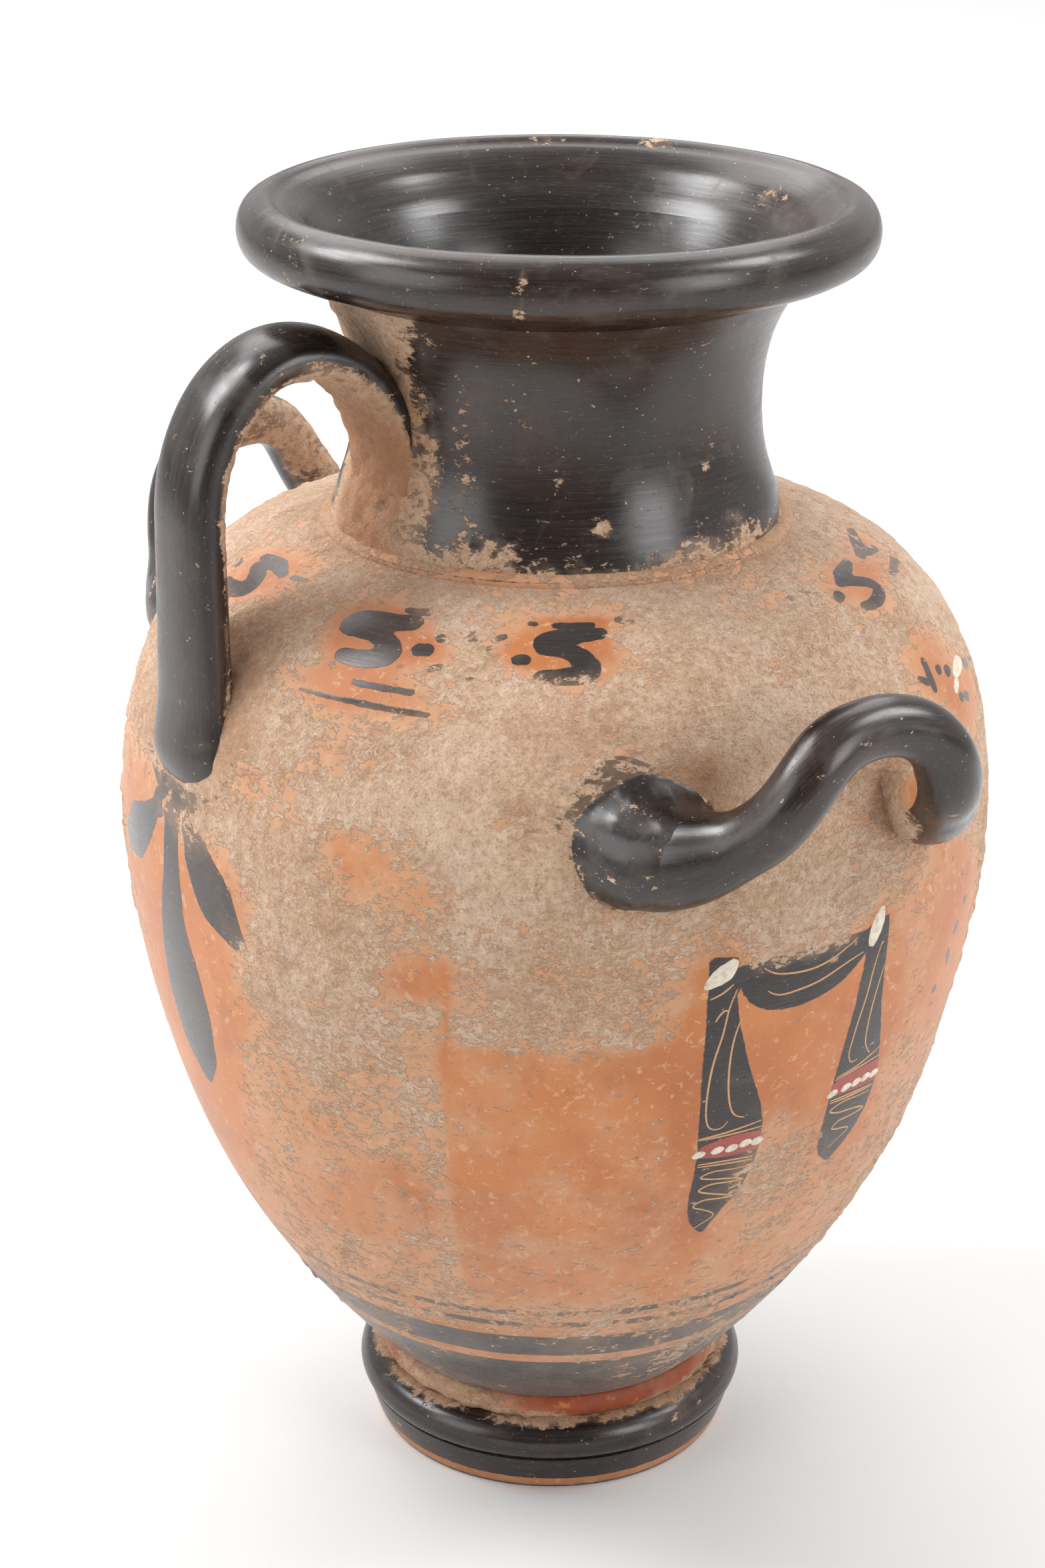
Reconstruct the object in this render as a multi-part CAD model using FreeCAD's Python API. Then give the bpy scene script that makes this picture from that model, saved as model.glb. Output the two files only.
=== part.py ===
"""Three-handled water jar (hydria): thrown and luted ceramic, in millimetres.

The jar is made the way a potter makes it. The foot, the lower body, the shoulder, the neck
and the mouth are thrown on the wheel, the handles are pulled by hand, and all are joined
with slip at plain seats. Origin: centre of the ring that the foot rests on. +Z is up,
the upright strap handle is at -X, and one of the two side handles is at -Y.
"""
import FreeCAD, Part
import math
import os

from FreeCAD import Vector

# ---------------------------------------------------------------- driving dimensions
HEIGHT = 400.0              # floor to the crest of the mouth
WALL = 6.0                  # thickness of the thrown wall
MAX_RADIUS = 131.4          # widest point of the body

FOOT_BASE_R = 55.5          # outer edge of the resting ring
FOOT_RING_WIDTH = 11.5      # width of the resting ring
FOOT_MAX_R = 62.0           # torus of the foot
FOOT_GROOVE_Z = 13.0        # line between the foot's two degrees
FOOT_TOP_Z = 24.4           # seat of the body on the foot

STEM_R = 51.0               # stem of the body inside the lower fillet
FOOT_FILLET_R = 54.9        # crest of the lower fillet
FOOT_FILLET_TOP_Z = 31.8

BODY_JOINT_Z = 253.0        # seat between the lower body and the shoulder
BODY_JOINT_R = 126.6        # outer radius there

NECK_SEAT_Z = 303.2         # seat of the neck on the shoulder
NECK_BASE_R = 66.8
NECK_WAIST_R = 59.8
NECK_WAIST_Z = 340.0
NECK_BORE_R = 60.0          # hole in the shoulder under the neck
NECK_FILLET_R = 69.8        # outer radius of the upper fillet
NECK_FILLET_HEIGHT = 3.0

LIP_MAX_R = 92.5
LIP_MAX_Z = 390.3
CREST_R = 84.5
LIP_SEAT_OUTER = (70.5, 376.0)
LIP_SEAT_INNER = (64.0, 381.5)

STRAP_NECK_R = 56.0         # centre line of the strap handle at the neck
STRAP_BODY_R = 121.0        # and where it runs down to the shoulder
STRAP_BEND_Z = 320.0        # height where its arch begins
STRAP_TOP_Z = 364.7
STRAP_NECK_END_Z = 313.0    # ends of the centre line, inside the walls
STRAP_BODY_END_Z = 243.0
STRAP_THICKNESS = 14.0
STRAP_WIDTHS = (34.0, 28.5, 38.0)   # at the neck, at the arch and at the shoulder

SIDE_ROOT_R = 126.5         # distance of a side handle's roots from the axis
SIDE_ROOT_HALF_ANGLE = 22.0
SIDE_TUBE_MID = 16.8        # thickness of the rolled clay, middle and roots
SIDE_TUBE_ROOT = 21.3
SIDE_HANDLES = {
    # name: (azimuth in degrees, root height, top height, reach from the axis)
    "near": (-90.0, 244.8, 285.2, 153.4),
    "far": (100.6, 252.0, 301.0, 150.5),
}

PAD_R = 20.5                # clay pressed round each root of a side handle
PAD_HEIGHT = 10.0           # how far it stands out of the wall
PAD_SUNK = 4.0              # how far its rim lies inside the outer surface


# ---------------------------------------------------------------- outlines and revolving
def point(r, z):
    """A point of an outline, in the XZ plane."""
    return Vector(r, 0, z)


def line(a, b):
    return Part.makeLine(point(*a), point(*b))


def arc(a, through, b):
    return Part.Arc(point(*a), point(*through), point(*b)).toShape()


def curve(points):
    """A smooth curve through the points of an outline."""
    spline = Part.BSplineCurve()
    spline.interpolate([point(r, z) for r, z in points])
    return spline


def inside_of(spline, distance, count=24):
    """The curve that runs beside an outline, the wall's thickness nearer the axis."""
    first, last = spline.FirstParameter, spline.LastParameter
    points = []
    for step in range(count):
        at = first + (last - first) * step / (count - 1)
        here = spline.value(at)
        along = Vector(*spline.tangent(at)[0])
        points.append((here.x - along.z * distance, here.z + along.x * distance))
    return curve(points)


def parameter_at_height(spline, height):
    """Where a rising curve passes a height."""
    low, high = spline.FirstParameter, spline.LastParameter
    for _ in range(60):
        middle = (low + high) / 2
        if spline.value(middle).z < height:
            low = middle
        else:
            high = middle
    return low


def ends(spline):
    first, last = spline.value(spline.FirstParameter), spline.value(spline.LastParameter)
    return (first.x, first.z), (last.x, last.z)


def turned(*edges):
    """A thrown piece: a closed outline revolved about the axis."""
    wire = Part.Wire(Part.__sortEdges__(list(edges)))
    solid = Part.Face(wire).revolve(Vector(0, 0, 0), Vector(0, 0, 1), 360)
    return solid


# ---------------------------------------------------------------- thrown pieces
BODY_OUTLINE = [
    (FOOT_FILLET_R - 1.7, FOOT_FILLET_TOP_Z),
    (60.0, 38.6),
    (79.8, 61.9),
    (105.6, 104.4),
    (125.9, 168.1),
    (MAX_RADIUS, 213.0),
    (BODY_JOINT_R, BODY_JOINT_Z),
    (117.6, 274.3),
    (95.5, 295.3),
    (NECK_FILLET_R, NECK_SEAT_Z),
]
NECK_OUTLINE = [
    (NECK_BASE_R, NECK_SEAT_Z),
    (65.3, 312.0),
    (62.2, 322.0),
    (NECK_WAIST_R, NECK_WAIST_Z),
    (60.6, 352.0),
    (64.6, 366.0),
    LIP_SEAT_OUTER,
]
NECK_INSIDE = [
    (NECK_BORE_R, NECK_SEAT_Z),
    (56.6, 320.0),
    (NECK_WAIST_R - WALL, NECK_WAIST_Z),
    (54.6, 354.0),
    (58.2, 369.0),
    LIP_SEAT_INNER,
]
LIP_INSIDE = [LIP_SEAT_INNER, (71.5, 390.8), (79.0, 396.9), (CREST_R, HEIGHT)]
LIP_ROLL = [
    (CREST_R, HEIGHT),
    (89.9, 397.2),
    (LIP_MAX_R, LIP_MAX_Z),
    (90.6, 384.4),
    (86.0, 381.6),
    (78.5, 379.6),
    LIP_SEAT_OUTER,
]

body_outside = curve(BODY_OUTLINE)
body_inside = inside_of(body_outside, WALL)
neck_outside = curve(NECK_OUTLINE)


def make_foot():
    """A foot in two degrees, hollow underneath, that rests on a plain ring."""
    inner = FOOT_BASE_R - FOOT_RING_WIDTH
    inner_top = inner - 4.0
    base = (FOOT_BASE_R, 0)
    bevel = (FOOT_BASE_R + 1.1, 2.2)
    groove_low = (FOOT_MAX_R - 2.1, FOOT_GROOVE_Z - 0.6)
    groove_deep = (FOOT_MAX_R - 3.0, FOOT_GROOVE_Z)
    groove_high = (FOOT_MAX_R - 1.7, FOOT_GROOVE_Z + 0.6)
    crown = (FOOT_MAX_R, FOOT_GROOVE_Z + 5.7)
    top = (FOOT_FILLET_R, FOOT_TOP_Z)
    return turned(
        line((inner, 0), base),
        line(base, bevel),
        arc(bevel, (FOOT_BASE_R + 2.9, 7.2), groove_low),
        line(groove_low, groove_deep),
        line(groove_deep, groove_high),
        arc(groove_high, crown, top),
        line(top, (inner_top, FOOT_TOP_Z)),
        line((inner_top, FOOT_TOP_Z), (inner, 0)),
    )


def make_foot_fillet():
    """The raised ring that is painted red, round the stem of the body."""
    low = (STEM_R + 2.4, FOOT_TOP_Z)
    high = ends(body_outside)[0]
    crest = (FOOT_FILLET_R, (FOOT_TOP_Z + FOOT_FILLET_TOP_Z) / 2)
    return turned(
        line((STEM_R, FOOT_TOP_Z), low),
        arc(low, crest, high),
        line(high, (STEM_R, FOOT_FILLET_TOP_Z)),
        line((STEM_R, FOOT_FILLET_TOP_Z), (STEM_R, FOOT_TOP_Z)),
    )


def make_lower_body():
    """The bowl of the jar, closed by its own floor, up to just above the widest point."""
    outside_joint = parameter_at_height(body_outside, BODY_JOINT_Z)
    inside_joint = parameter_at_height(body_inside, BODY_JOINT_Z)
    rim_out = body_outside.value(outside_joint)
    rim_in = body_inside.value(inside_joint)
    stem_top = ends(body_outside)[0]
    floor_edge = ends(body_inside)[0]
    floor_z = FOOT_TOP_Z + WALL + 1.0
    flat_edge = (0.5 * floor_edge[0], floor_z)
    sweep = (0.8 * floor_edge[0], floor_z + 0.3 * (floor_edge[1] - floor_z))
    return turned(
        line((0, FOOT_TOP_Z), (STEM_R, FOOT_TOP_Z)),
        line((STEM_R, FOOT_TOP_Z), (STEM_R, FOOT_FILLET_TOP_Z)),
        line((STEM_R, FOOT_FILLET_TOP_Z), stem_top),
        body_outside.toShape(body_outside.FirstParameter, outside_joint),
        Part.makeLine(rim_out, rim_in),
        body_inside.toShape(body_inside.FirstParameter, inside_joint),
        arc(floor_edge, sweep, flat_edge),
        line(flat_edge, (0, floor_z)),
        line((0, floor_z), (0, FOOT_TOP_Z)),
    )


def make_shoulder():
    """The shoulder, closed in to a hole that the neck stands over."""
    outside_joint = parameter_at_height(body_outside, BODY_JOINT_Z)
    inside_joint = parameter_at_height(body_inside, BODY_JOINT_Z)
    rim_out = body_outside.value(outside_joint)
    rim_in = body_inside.value(inside_joint)
    top_out, top_in = ends(body_outside)[1], ends(body_inside)[1]
    return turned(
        body_outside.toShape(outside_joint, body_outside.LastParameter),
        line(top_out, (NECK_BORE_R, NECK_SEAT_Z)),
        line((NECK_BORE_R, NECK_SEAT_Z), (NECK_BORE_R, top_in[1])),
        line((NECK_BORE_R, top_in[1]), top_in),
        body_inside.toShape(inside_joint, body_inside.LastParameter),
        Part.makeLine(rim_in, rim_out),
    )


def make_neck_fillet():
    """The low ring in the corner between the neck and the shoulder."""
    foot = (NECK_FILLET_R, NECK_SEAT_Z)
    at_neck = neck_outside.value(parameter_at_height(neck_outside, NECK_SEAT_Z + NECK_FILLET_HEIGHT))
    top = (at_neck.x, at_neck.z)
    bulge = (NECK_FILLET_R - 0.7, NECK_SEAT_Z + 0.75 * NECK_FILLET_HEIGHT)
    against_neck = neck_outside.toShape(
        neck_outside.FirstParameter,
        parameter_at_height(neck_outside, NECK_SEAT_Z + NECK_FILLET_HEIGHT),
    )
    return turned(line((NECK_BASE_R, NECK_SEAT_Z), foot), arc(foot, bulge, top), against_neck)


def make_neck():
    """The flaring neck, thrown apart from the body."""
    return turned(
        line((NECK_BORE_R, NECK_SEAT_Z), (NECK_BASE_R, NECK_SEAT_Z)),
        neck_outside.toShape(),
        line(LIP_SEAT_OUTER, LIP_SEAT_INNER),
        curve(NECK_INSIDE).toShape(),
    )


def make_mouth():
    """The rolled mouth, with a hollow slope inside that leads down into the neck."""
    return turned(
        line(LIP_SEAT_INNER, LIP_SEAT_OUTER),
        curve(LIP_ROLL).toShape(),
        curve(LIP_INSIDE).toShape(),
    )


def make_envelope():
    """Everything inside the outer surface: what a handle's root is cut back from."""
    top_out = ends(body_outside)[1]
    stem_top = ends(body_outside)[0]
    return turned(
        line((0, FOOT_FILLET_TOP_Z), stem_top),
        body_outside.toShape(),
        line(top_out, (NECK_BASE_R, NECK_SEAT_Z)),
        neck_outside.toShape(),
        line(LIP_SEAT_OUTER, (0, LIP_SEAT_OUTER[1])),
        line((0, LIP_SEAT_OUTER[1]), (0, FOOT_FILLET_TOP_Z)),
    )


# ---------------------------------------------------------------- handles
def section(centre, along, across, half_width, half_thickness, squareness=2.0, count=20):
    """A closed rounded section of pulled clay, square to the handle's line."""
    up = along.cross(across).normalize()
    points = []
    for step in range(count):
        angle = 2 * math.pi * step / count
        c, s = math.cos(angle), math.sin(angle)
        x = math.copysign(abs(c) ** (2 / squareness), c) * half_width
        y = math.copysign(abs(s) ** (2 / squareness), s) * half_thickness
        points.append(centre + across * x + up * y)
    ring = Part.BSplineCurve()
    ring.interpolate(Points=points, PeriodicFlag=True)
    return Part.Wire(ring.toShape())


def largest_solid(shape):
    return max(shape.Solids, key=lambda solid: solid.Volume)


def between(values, share):
    """A value part of the way along three evenly spaced ones, joined by a parabola."""
    a, b, c = values
    return a * (1 - share) * (1 - 2 * share) + 4 * b * share * (1 - share) + c * share * (2 * share - 1)


def strap_line():
    """Stations of the strap handle's centre line, as (distance from axis, height)."""
    reach = (STRAP_BODY_R - STRAP_NECK_R) / 2
    middle = STRAP_NECK_R + reach
    rise = STRAP_TOP_Z - STRAP_BEND_Z
    stations = [(STRAP_NECK_R, STRAP_NECK_END_Z)]
    for step in range(13):
        angle = math.pi * (1 - step / 12)
        stations.append((middle + reach * math.cos(angle), STRAP_BEND_Z + rise * math.sin(angle)))
    for step in range(1, 6):
        drop = (STRAP_BEND_Z - STRAP_BODY_END_Z) * step / 5
        stations.append((STRAP_BODY_R + 0.4 * step / 5, STRAP_BEND_Z - drop))
    return stations


def make_strap_handle(envelope):
    """The broad upright handle, from the neck over to the shoulder, at -X."""
    line_points = [Vector(-r, 0, z) for r, z in strap_line()]
    across = Vector(0, 1, 0)
    lengths = [0.0]
    for before, after in zip(line_points, line_points[1:]):
        lengths.append(lengths[-1] + before.distanceToPoint(after))
    wires = []
    for index, centre in enumerate(line_points):
        before = line_points[max(index - 1, 0)]
        after = line_points[min(index + 1, len(line_points) - 1)]
        along = (after - before).normalize()
        share = lengths[index] / lengths[-1]
        width = between(STRAP_WIDTHS, share)
        wires.append(section(centre, along, across, width / 2, STRAP_THICKNESS / 2, 2.4))
    return largest_solid(Part.makeLoft(wires, True, False).cut(envelope))


def side_handle_frame(azimuth):
    """Directions of a side handle: outwards, and along the wall."""
    angle = math.radians(azimuth)
    outwards = Vector(math.cos(angle), math.sin(angle), 0)
    along_wall = Vector(-math.sin(angle), math.cos(angle), 0)
    return outwards, along_wall


def side_handle_controls(azimuth, root_z, top_z, reach):
    """Control points of half of a side handle's line, from a root to the top of its bend."""
    outwards, along_wall = side_handle_frame(azimuth)
    half = math.radians(SIDE_ROOT_HALF_ANGLE)
    apart = SIDE_ROOT_R * math.sin(half)
    out = SIDE_ROOT_R * math.cos(half)

    def at(side, distance, height):
        return along_wall * side + outwards * distance + Vector(0, 0, height)

    root = at(apart, out, root_z)
    leaving = at(apart - 25.0, out + 48.0, root_z + 0.3 * (top_z - root_z))
    arriving = at(30.5, reach, top_z)
    top = at(0, reach, top_z)
    return [root, leaving, arriving, top]


def on_bezier(controls, t):
    a, b, c, d = controls
    return a * (1 - t) ** 3 + b * (3 * (1 - t) ** 2 * t) + c * (3 * (1 - t) * t ** 2) + d * t ** 3


def mirrored(vector, along_wall):
    """The same point on the other half of a side handle."""
    return vector - along_wall * (2 * vector.dot(along_wall))


def make_side_handle(envelope, azimuth, root_z, top_z, reach):
    """A rolled handle that sweeps out and up from the body and back to it."""
    _, along_wall = side_handle_frame(azimuth)
    controls = side_handle_controls(azimuth, root_z, top_z, reach)
    steps = 9
    half = [on_bezier(controls, step / steps) for step in range(steps + 1)]
    inside = half[0] - (half[1] - half[0]).normalize() * 7.0
    half.insert(0, inside)
    points = half + [mirrored(p, along_wall) for p in reversed(half[:-1])]
    middle = (len(points) - 1) / 2
    facing = along_wall.cross(controls[3] - controls[0])
    wires = []
    for index, centre in enumerate(points):
        before = points[max(index - 1, 0)]
        after = points[min(index + 1, len(points) - 1)]
        along = (after - before).normalize()
        across = (facing - along * facing.dot(along)).normalize()
        share = abs(index - middle) / middle
        radius = (SIDE_TUBE_MID + (SIDE_TUBE_ROOT - SIDE_TUBE_MID) * share ** 2) / 2
        wires.append(section(centre, along, across, radius, radius))
    return largest_solid(Part.makeLoft(wires, True, False).cut(envelope))


def make_root_pad(envelope, handle, azimuth, root_z, top_z, reach, side):
    """The mound of clay pressed round one root of a side handle and smoothed out on the wall."""
    _, along_wall = side_handle_frame(azimuth)
    root = side_handle_controls(azimuth, root_z, top_z, reach)[0]
    if side < 0:
        root = mirrored(root, along_wall)
    flank = [
        (PAD_R, -PAD_SUNK),
        (0.93 * PAD_R, 0.04 * PAD_HEIGHT),
        (0.78 * PAD_R, 0.24 * PAD_HEIGHT),
        (0.62 * PAD_R, 0.60 * PAD_HEIGHT),
        (0.38 * PAD_R, 0.92 * PAD_HEIGHT),
        (0, PAD_HEIGHT),
    ]
    mound = turned(
        curve(flank).toShape(),
        line((0, PAD_HEIGHT), (0, -PAD_SUNK)),
        line((0, -PAD_SUNK), (PAD_R, -PAD_SUNK)),
    )
    from_wall = Vector(root.x, root.y, 0)
    mound.Placement = FreeCAD.Placement(root, FreeCAD.Rotation(Vector(0, 0, 1), from_wall))
    return largest_solid(mound.cut(envelope).cut(handle))


# ---------------------------------------------------------------- assembly
def build():
    envelope = make_envelope()
    nodes = {
        "foot": make_foot(),
        "foot_fillet": make_foot_fillet(),
        "lower_body": make_lower_body(),
        "shoulder": make_shoulder(),
        "neck_fillet": make_neck_fillet(),
        "neck": make_neck(),
        "mouth": make_mouth(),
        "strap_handle": make_strap_handle(envelope),
    }
    for name, place in SIDE_HANDLES.items():
        handle = make_side_handle(envelope, *place)
        nodes[f"side_handle_{name}"] = handle
        for label, side in (("left", -1), ("right", 1)):
            nodes[f"side_handle_{name}_pad_{label}"] = make_root_pad(envelope, handle, *place, side)
    return nodes


def main():
    os.makedirs("parts", exist_ok=True)
    for name, shape in build().items():
        shape.exportStep(f"parts/{name}.step")
        box = shape.BoundBox
        print(
            f"{name:28s} solids {len(shape.Solids)} valid {shape.isValid()} "
            f"volume {shape.Volume / 1000:8.1f} cm3  "
            f"x {box.XMin:7.1f} {box.XMax:7.1f}  y {box.YMin:7.1f} {box.YMax:7.1f}  "
            f"z {box.ZMin:6.1f} {box.ZMax:6.1f}"
        )


main()
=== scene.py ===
"""Looks of a three-handled water jar: black slip and bare orange clay under burial crust.

Lengths are millimetres until a mesh is made. Angles named theta are degrees round the jar,
0 towards the camera and growing to its right. s is the distance up the body's outline.
"""
import math

import bpy
import numpy as np
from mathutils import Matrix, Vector, noise


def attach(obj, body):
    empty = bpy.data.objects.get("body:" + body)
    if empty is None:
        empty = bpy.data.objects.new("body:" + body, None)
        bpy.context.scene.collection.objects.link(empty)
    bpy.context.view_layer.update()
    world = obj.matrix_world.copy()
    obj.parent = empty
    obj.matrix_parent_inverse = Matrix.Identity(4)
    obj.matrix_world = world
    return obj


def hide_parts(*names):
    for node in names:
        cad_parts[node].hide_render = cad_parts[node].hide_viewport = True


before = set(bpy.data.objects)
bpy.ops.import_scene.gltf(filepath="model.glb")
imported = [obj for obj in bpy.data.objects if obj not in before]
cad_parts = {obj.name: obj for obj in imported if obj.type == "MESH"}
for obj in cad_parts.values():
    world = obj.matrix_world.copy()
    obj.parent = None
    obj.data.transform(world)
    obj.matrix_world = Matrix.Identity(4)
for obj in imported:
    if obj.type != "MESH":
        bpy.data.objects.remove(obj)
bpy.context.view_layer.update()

MM = 0.001
FRONT = -123.0                      # azimuth in the frame that faces the camera
STRAP_THETA = -57.0                 # where the strap handle stands
BODY_JOINT_Z = 253.0                # seat between the lower body and the shoulder
WALL = 6.0                          # thickness of the thrown wall
UP = np.array((0, 0, 1.0))
PAINTED, BARE = 5.0, -9.0           # paint fields, in mm, well inside or outside a brushed edge

BODY_OUTLINE = [(53.2, 31.8), (60, 38.6), (79.8, 61.9), (105.6, 104.4), (125.9, 168.1),
                (131.4, 213), (126.6, 253), (117.6, 274.3), (95.5, 295.3), (69.8, 303.2)]
NECK_OUTLINE = [(66.8, 303.2), (65.3, 312), (62.2, 322), (59.8, 340), (60.6, 352),
                (64.6, 366), (70.5, 376)]
NECK_INSIDE = [(64, 381.5), (58.2, 369), (54.6, 354), (53.8, 340), (56.6, 320), (60, 303.2)]
LIP_ROLL = [(70.5, 376), (78.5, 379.6), (86, 381.6), (90.6, 384.4), (92.5, 390.3),
            (89.9, 397.2), (84.5, 400)]
LIP_INSIDE = [(84.5, 400), (79, 396.9), (71.5, 390.8), (64, 381.5)]


# ---------------------------------------------------------------- curves, noise and fields
def smooth_line(points, spacing):
    """Evenly spaced points on a natural cubic spline through given ones."""
    points = np.array(points, float)
    knots = np.r_[0, np.cumsum(np.linalg.norm(np.diff(points, axis=0), axis=1))]
    steps = np.diff(knots)
    count = len(points)
    matrix = np.eye(count)
    right = np.zeros_like(points)
    for i in range(1, count - 1):
        matrix[i, i - 1:i + 2] = steps[i - 1], 2 * (steps[i - 1] + steps[i]), steps[i]
        right[i] = 6 * ((points[i + 1] - points[i]) / steps[i]
                        - (points[i] - points[i - 1]) / steps[i - 1])
    second = np.linalg.solve(matrix, right)
    at = np.linspace(0, knots[-1], max(2, round(knots[-1] / spacing) + 1))
    i = np.clip(np.searchsorted(knots, at, side="right") - 1, 0, count - 2)
    width = steps[i][:, None]
    a = (knots[i + 1] - at)[:, None] / width
    b = 1 - a
    bend = (a ** 3 - a) * second[i] + (b ** 3 - b) * second[i + 1]
    return a * points[i] + b * points[i + 1] + bend * width ** 2 / 6


def lengths_along(points):
    return np.r_[0, np.cumsum(np.linalg.norm(np.diff(points, axis=0), axis=1))]


def smoothstep(low, high, value):
    t = np.clip((value - low) / (high - low), 0, 1)
    return t * t * (3 - 2 * t)


def fractal(points, size, octaves=3, seed=0.0):
    """Fractal noise about zero at points in mm, with its largest blobs about size across."""
    shift = np.array((seed, seed * 1.7, seed * 0.6))
    at = np.asarray(points, float).reshape(-1, 3) / size + shift
    values = [noise.fractal(p, 1.0, 2.0, octaves) for p in at.tolist()]
    return np.array(values).reshape(np.shape(points)[:-1])


def turn_between(theta, centre):
    """Signed angle from centre to theta, the short way round."""
    return (theta - centre + 180) % 360 - 180


def direction(theta):
    angle = np.radians(np.asarray(theta, float) + FRONT)
    return np.cos(angle), np.sin(angle)


def patches(theta, height, spots):
    """Sum of soft oval spots: (theta, height, half width in degrees, half height, amount)."""
    total = np.zeros(np.broadcast(theta, height).shape)
    for centre, level, half_width, half_height, amount in spots:
        away = (turn_between(theta, centre) / half_width) ** 2 \
            + ((height - level) / half_height) ** 2
        total += amount * np.exp(-away ** 1.5)
    return total


# ---------------------------------------------------------------- meshes
def grid_faces(rows, columns, wrap_rows=False, fans=False):
    """Quads of a tube of rows, and fans that close both ends on two more vertices."""
    down = np.arange(rows if wrap_rows else rows - 1)[:, None]
    along = np.arange(columns)[None, :]
    up, beside = (down + 1) % rows, (along + 1) % columns
    quads = np.stack(np.broadcast_arrays(
        down * columns + along, down * columns + beside,
        up * columns + beside, up * columns + along), -1).reshape(-1, 4).tolist()
    if fans:
        first, last, base = rows * columns, rows * columns + 1, (rows - 1) * columns
        for j in range(columns):
            k = (j + 1) % columns
            quads.append([first, k, j])
            quads.append([base + j, base + k, last])
    return quads


def mesh_piece(name, vertices, faces, slot, material, node=None, sharp=50.0, **fields):
    """An object with its attributes that rides on the jar and may stand for a CAD node."""
    vertices = np.asarray(vertices, float).reshape(-1, 3)
    corners = [vertices[[face[k] for face in faces]] for k in range(3)]
    volume = np.einsum("ij,ij->i", corners[0], np.cross(corners[1], corners[2])).sum()
    if volume < 0:
        faces = [face[::-1] for face in faces]
    mesh = bpy.data.meshes.new(name)
    mesh.from_pydata((vertices * MM).tolist(), [], faces)
    for key, values in fields.items():
        values = np.asarray(values, np.float32)
        vector = values.ndim == 2
        kind = "FLOAT_VECTOR" if vector else "FLOAT"
        layer = mesh.attributes.new(key, kind, "POINT")
        layer.data.foreach_set("vector" if vector else "value", values.ravel())
    mesh.update()
    mesh.shade_smooth()
    mesh.set_sharp_from_angle(angle=math.radians(sharp))
    mesh.materials.append(material)
    piece = bpy.data.objects.new(name, mesh)
    bpy.context.scene.collection.objects.link(piece)
    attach(piece, "root")
    if node:
        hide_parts(node)
    return piece


def fanned_piece(name, points, ends, slot, material, node, grain, fields):
    """A tube of points, closed by a fan on a further point at each end."""
    flat = {key: value.ravel() for key, value in fields.items()}
    flat["grain"] = grain.reshape(-1, 3)
    flat = {key: np.concatenate([value, value[:1], value[-1:]]) for key, value in flat.items()}
    vertices = np.vstack([points.reshape(-1, 3), ends])
    faces = grid_faces(*points.shape[:2], fans=True)
    return mesh_piece(name, vertices, faces, slot, material, node, **flat)


class Turned:
    """A surface of revolution: rows (r, z) times columns of angles, with room for relief."""

    GRAIN_ACROSS, GRAIN_ALONG = 1.2, 0.04

    def __init__(self, rows, angles, closed):
        self.rows = np.asarray(rows, float)
        self.angles = np.asarray(angles, float)
        self.closed = closed
        if closed:
            line = np.vstack([self.rows[-1:], self.rows, self.rows[:1]])
        else:
            line = np.vstack([2 * self.rows[:1] - self.rows[1:2], self.rows,
                              2 * self.rows[-1:] - self.rows[-2:-1]])
        tangent = line[2:] - line[:-2]
        tangent /= np.linalg.norm(tangent, axis=1)[:, None]
        slope = np.stack([tangent[:, 1], -tangent[:, 0]], -1)[:, None]
        self.theta = np.broadcast_to(self.angles, (len(self.rows), len(self.angles)))
        self.r = np.broadcast_to(self.rows[:, :1], self.theta.shape)
        self.z = np.broadcast_to(self.rows[:, 1:], self.theta.shape)
        self.s = np.broadcast_to(lengths_along(self.rows)[:, None], self.theta.shape)
        x, y = direction(self.angles)
        self.out = np.stack([x, y, 0 * x], -1)[None]
        self.points = self.out * self.r[..., None] + UP * self.z[..., None]
        self.normals = self.out * slope[..., :1] + UP * slope[..., 1:]

    def grain(self):
        """Coordinates that stretch noise into the marks of a brush held against the wheel."""
        around = self.out * self.r[..., None] * self.GRAIN_ALONG
        return around + UP * self.s[..., None] * self.GRAIN_ACROSS

    def piece(self, name, relief, slot, material, node, poles=None, **fields):
        """The finished piece. poles are the heights that close an open run of rows."""
        points = self.points + self.normals * relief[..., None]
        if poles:
            ends = [(0, 0, height) for height in poles]
            return fanned_piece(name, points, ends, slot, material, node, self.grain(), fields)
        flat = {key: value.ravel() for key, value in fields.items()}
        faces = grid_faces(*self.theta.shape, wrap_rows=self.closed)
        return mesh_piece(name, points, faces, slot, material, node,
                          grain=self.grain().reshape(-1, 3), **flat)


def inner_line(rows, distance):
    """The line beside an outline, nearer the axis by the wall's thickness."""
    tangent = np.gradient(rows, axis=0)
    tangent /= np.linalg.norm(tangent, axis=1)[:, None]
    return rows + np.stack([-tangent[:, 1], tangent[:, 0]], -1) * distance


def even_line(points, spacing):
    """The same line with evenly spaced points."""
    run = lengths_along(points)
    at = np.linspace(0, run[-1], max(2, round(run[-1] / spacing) + 1))
    return np.stack([np.interp(at, run, points[:, 0]), np.interp(at, run, points[:, 1])], -1)


# ---------------------------------------------------------------- shader nodes
def srgb(red, green, blue):
    """A display colour, 0 to 255, as the linear colour that a shader takes."""
    values = [v / 255 for v in (red, green, blue)]
    linear = [v / 12.92 if v <= 0.04045 else ((v + 0.055) / 1.055) ** 2.4 for v in values]
    return (*linear, 1.0)


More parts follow.
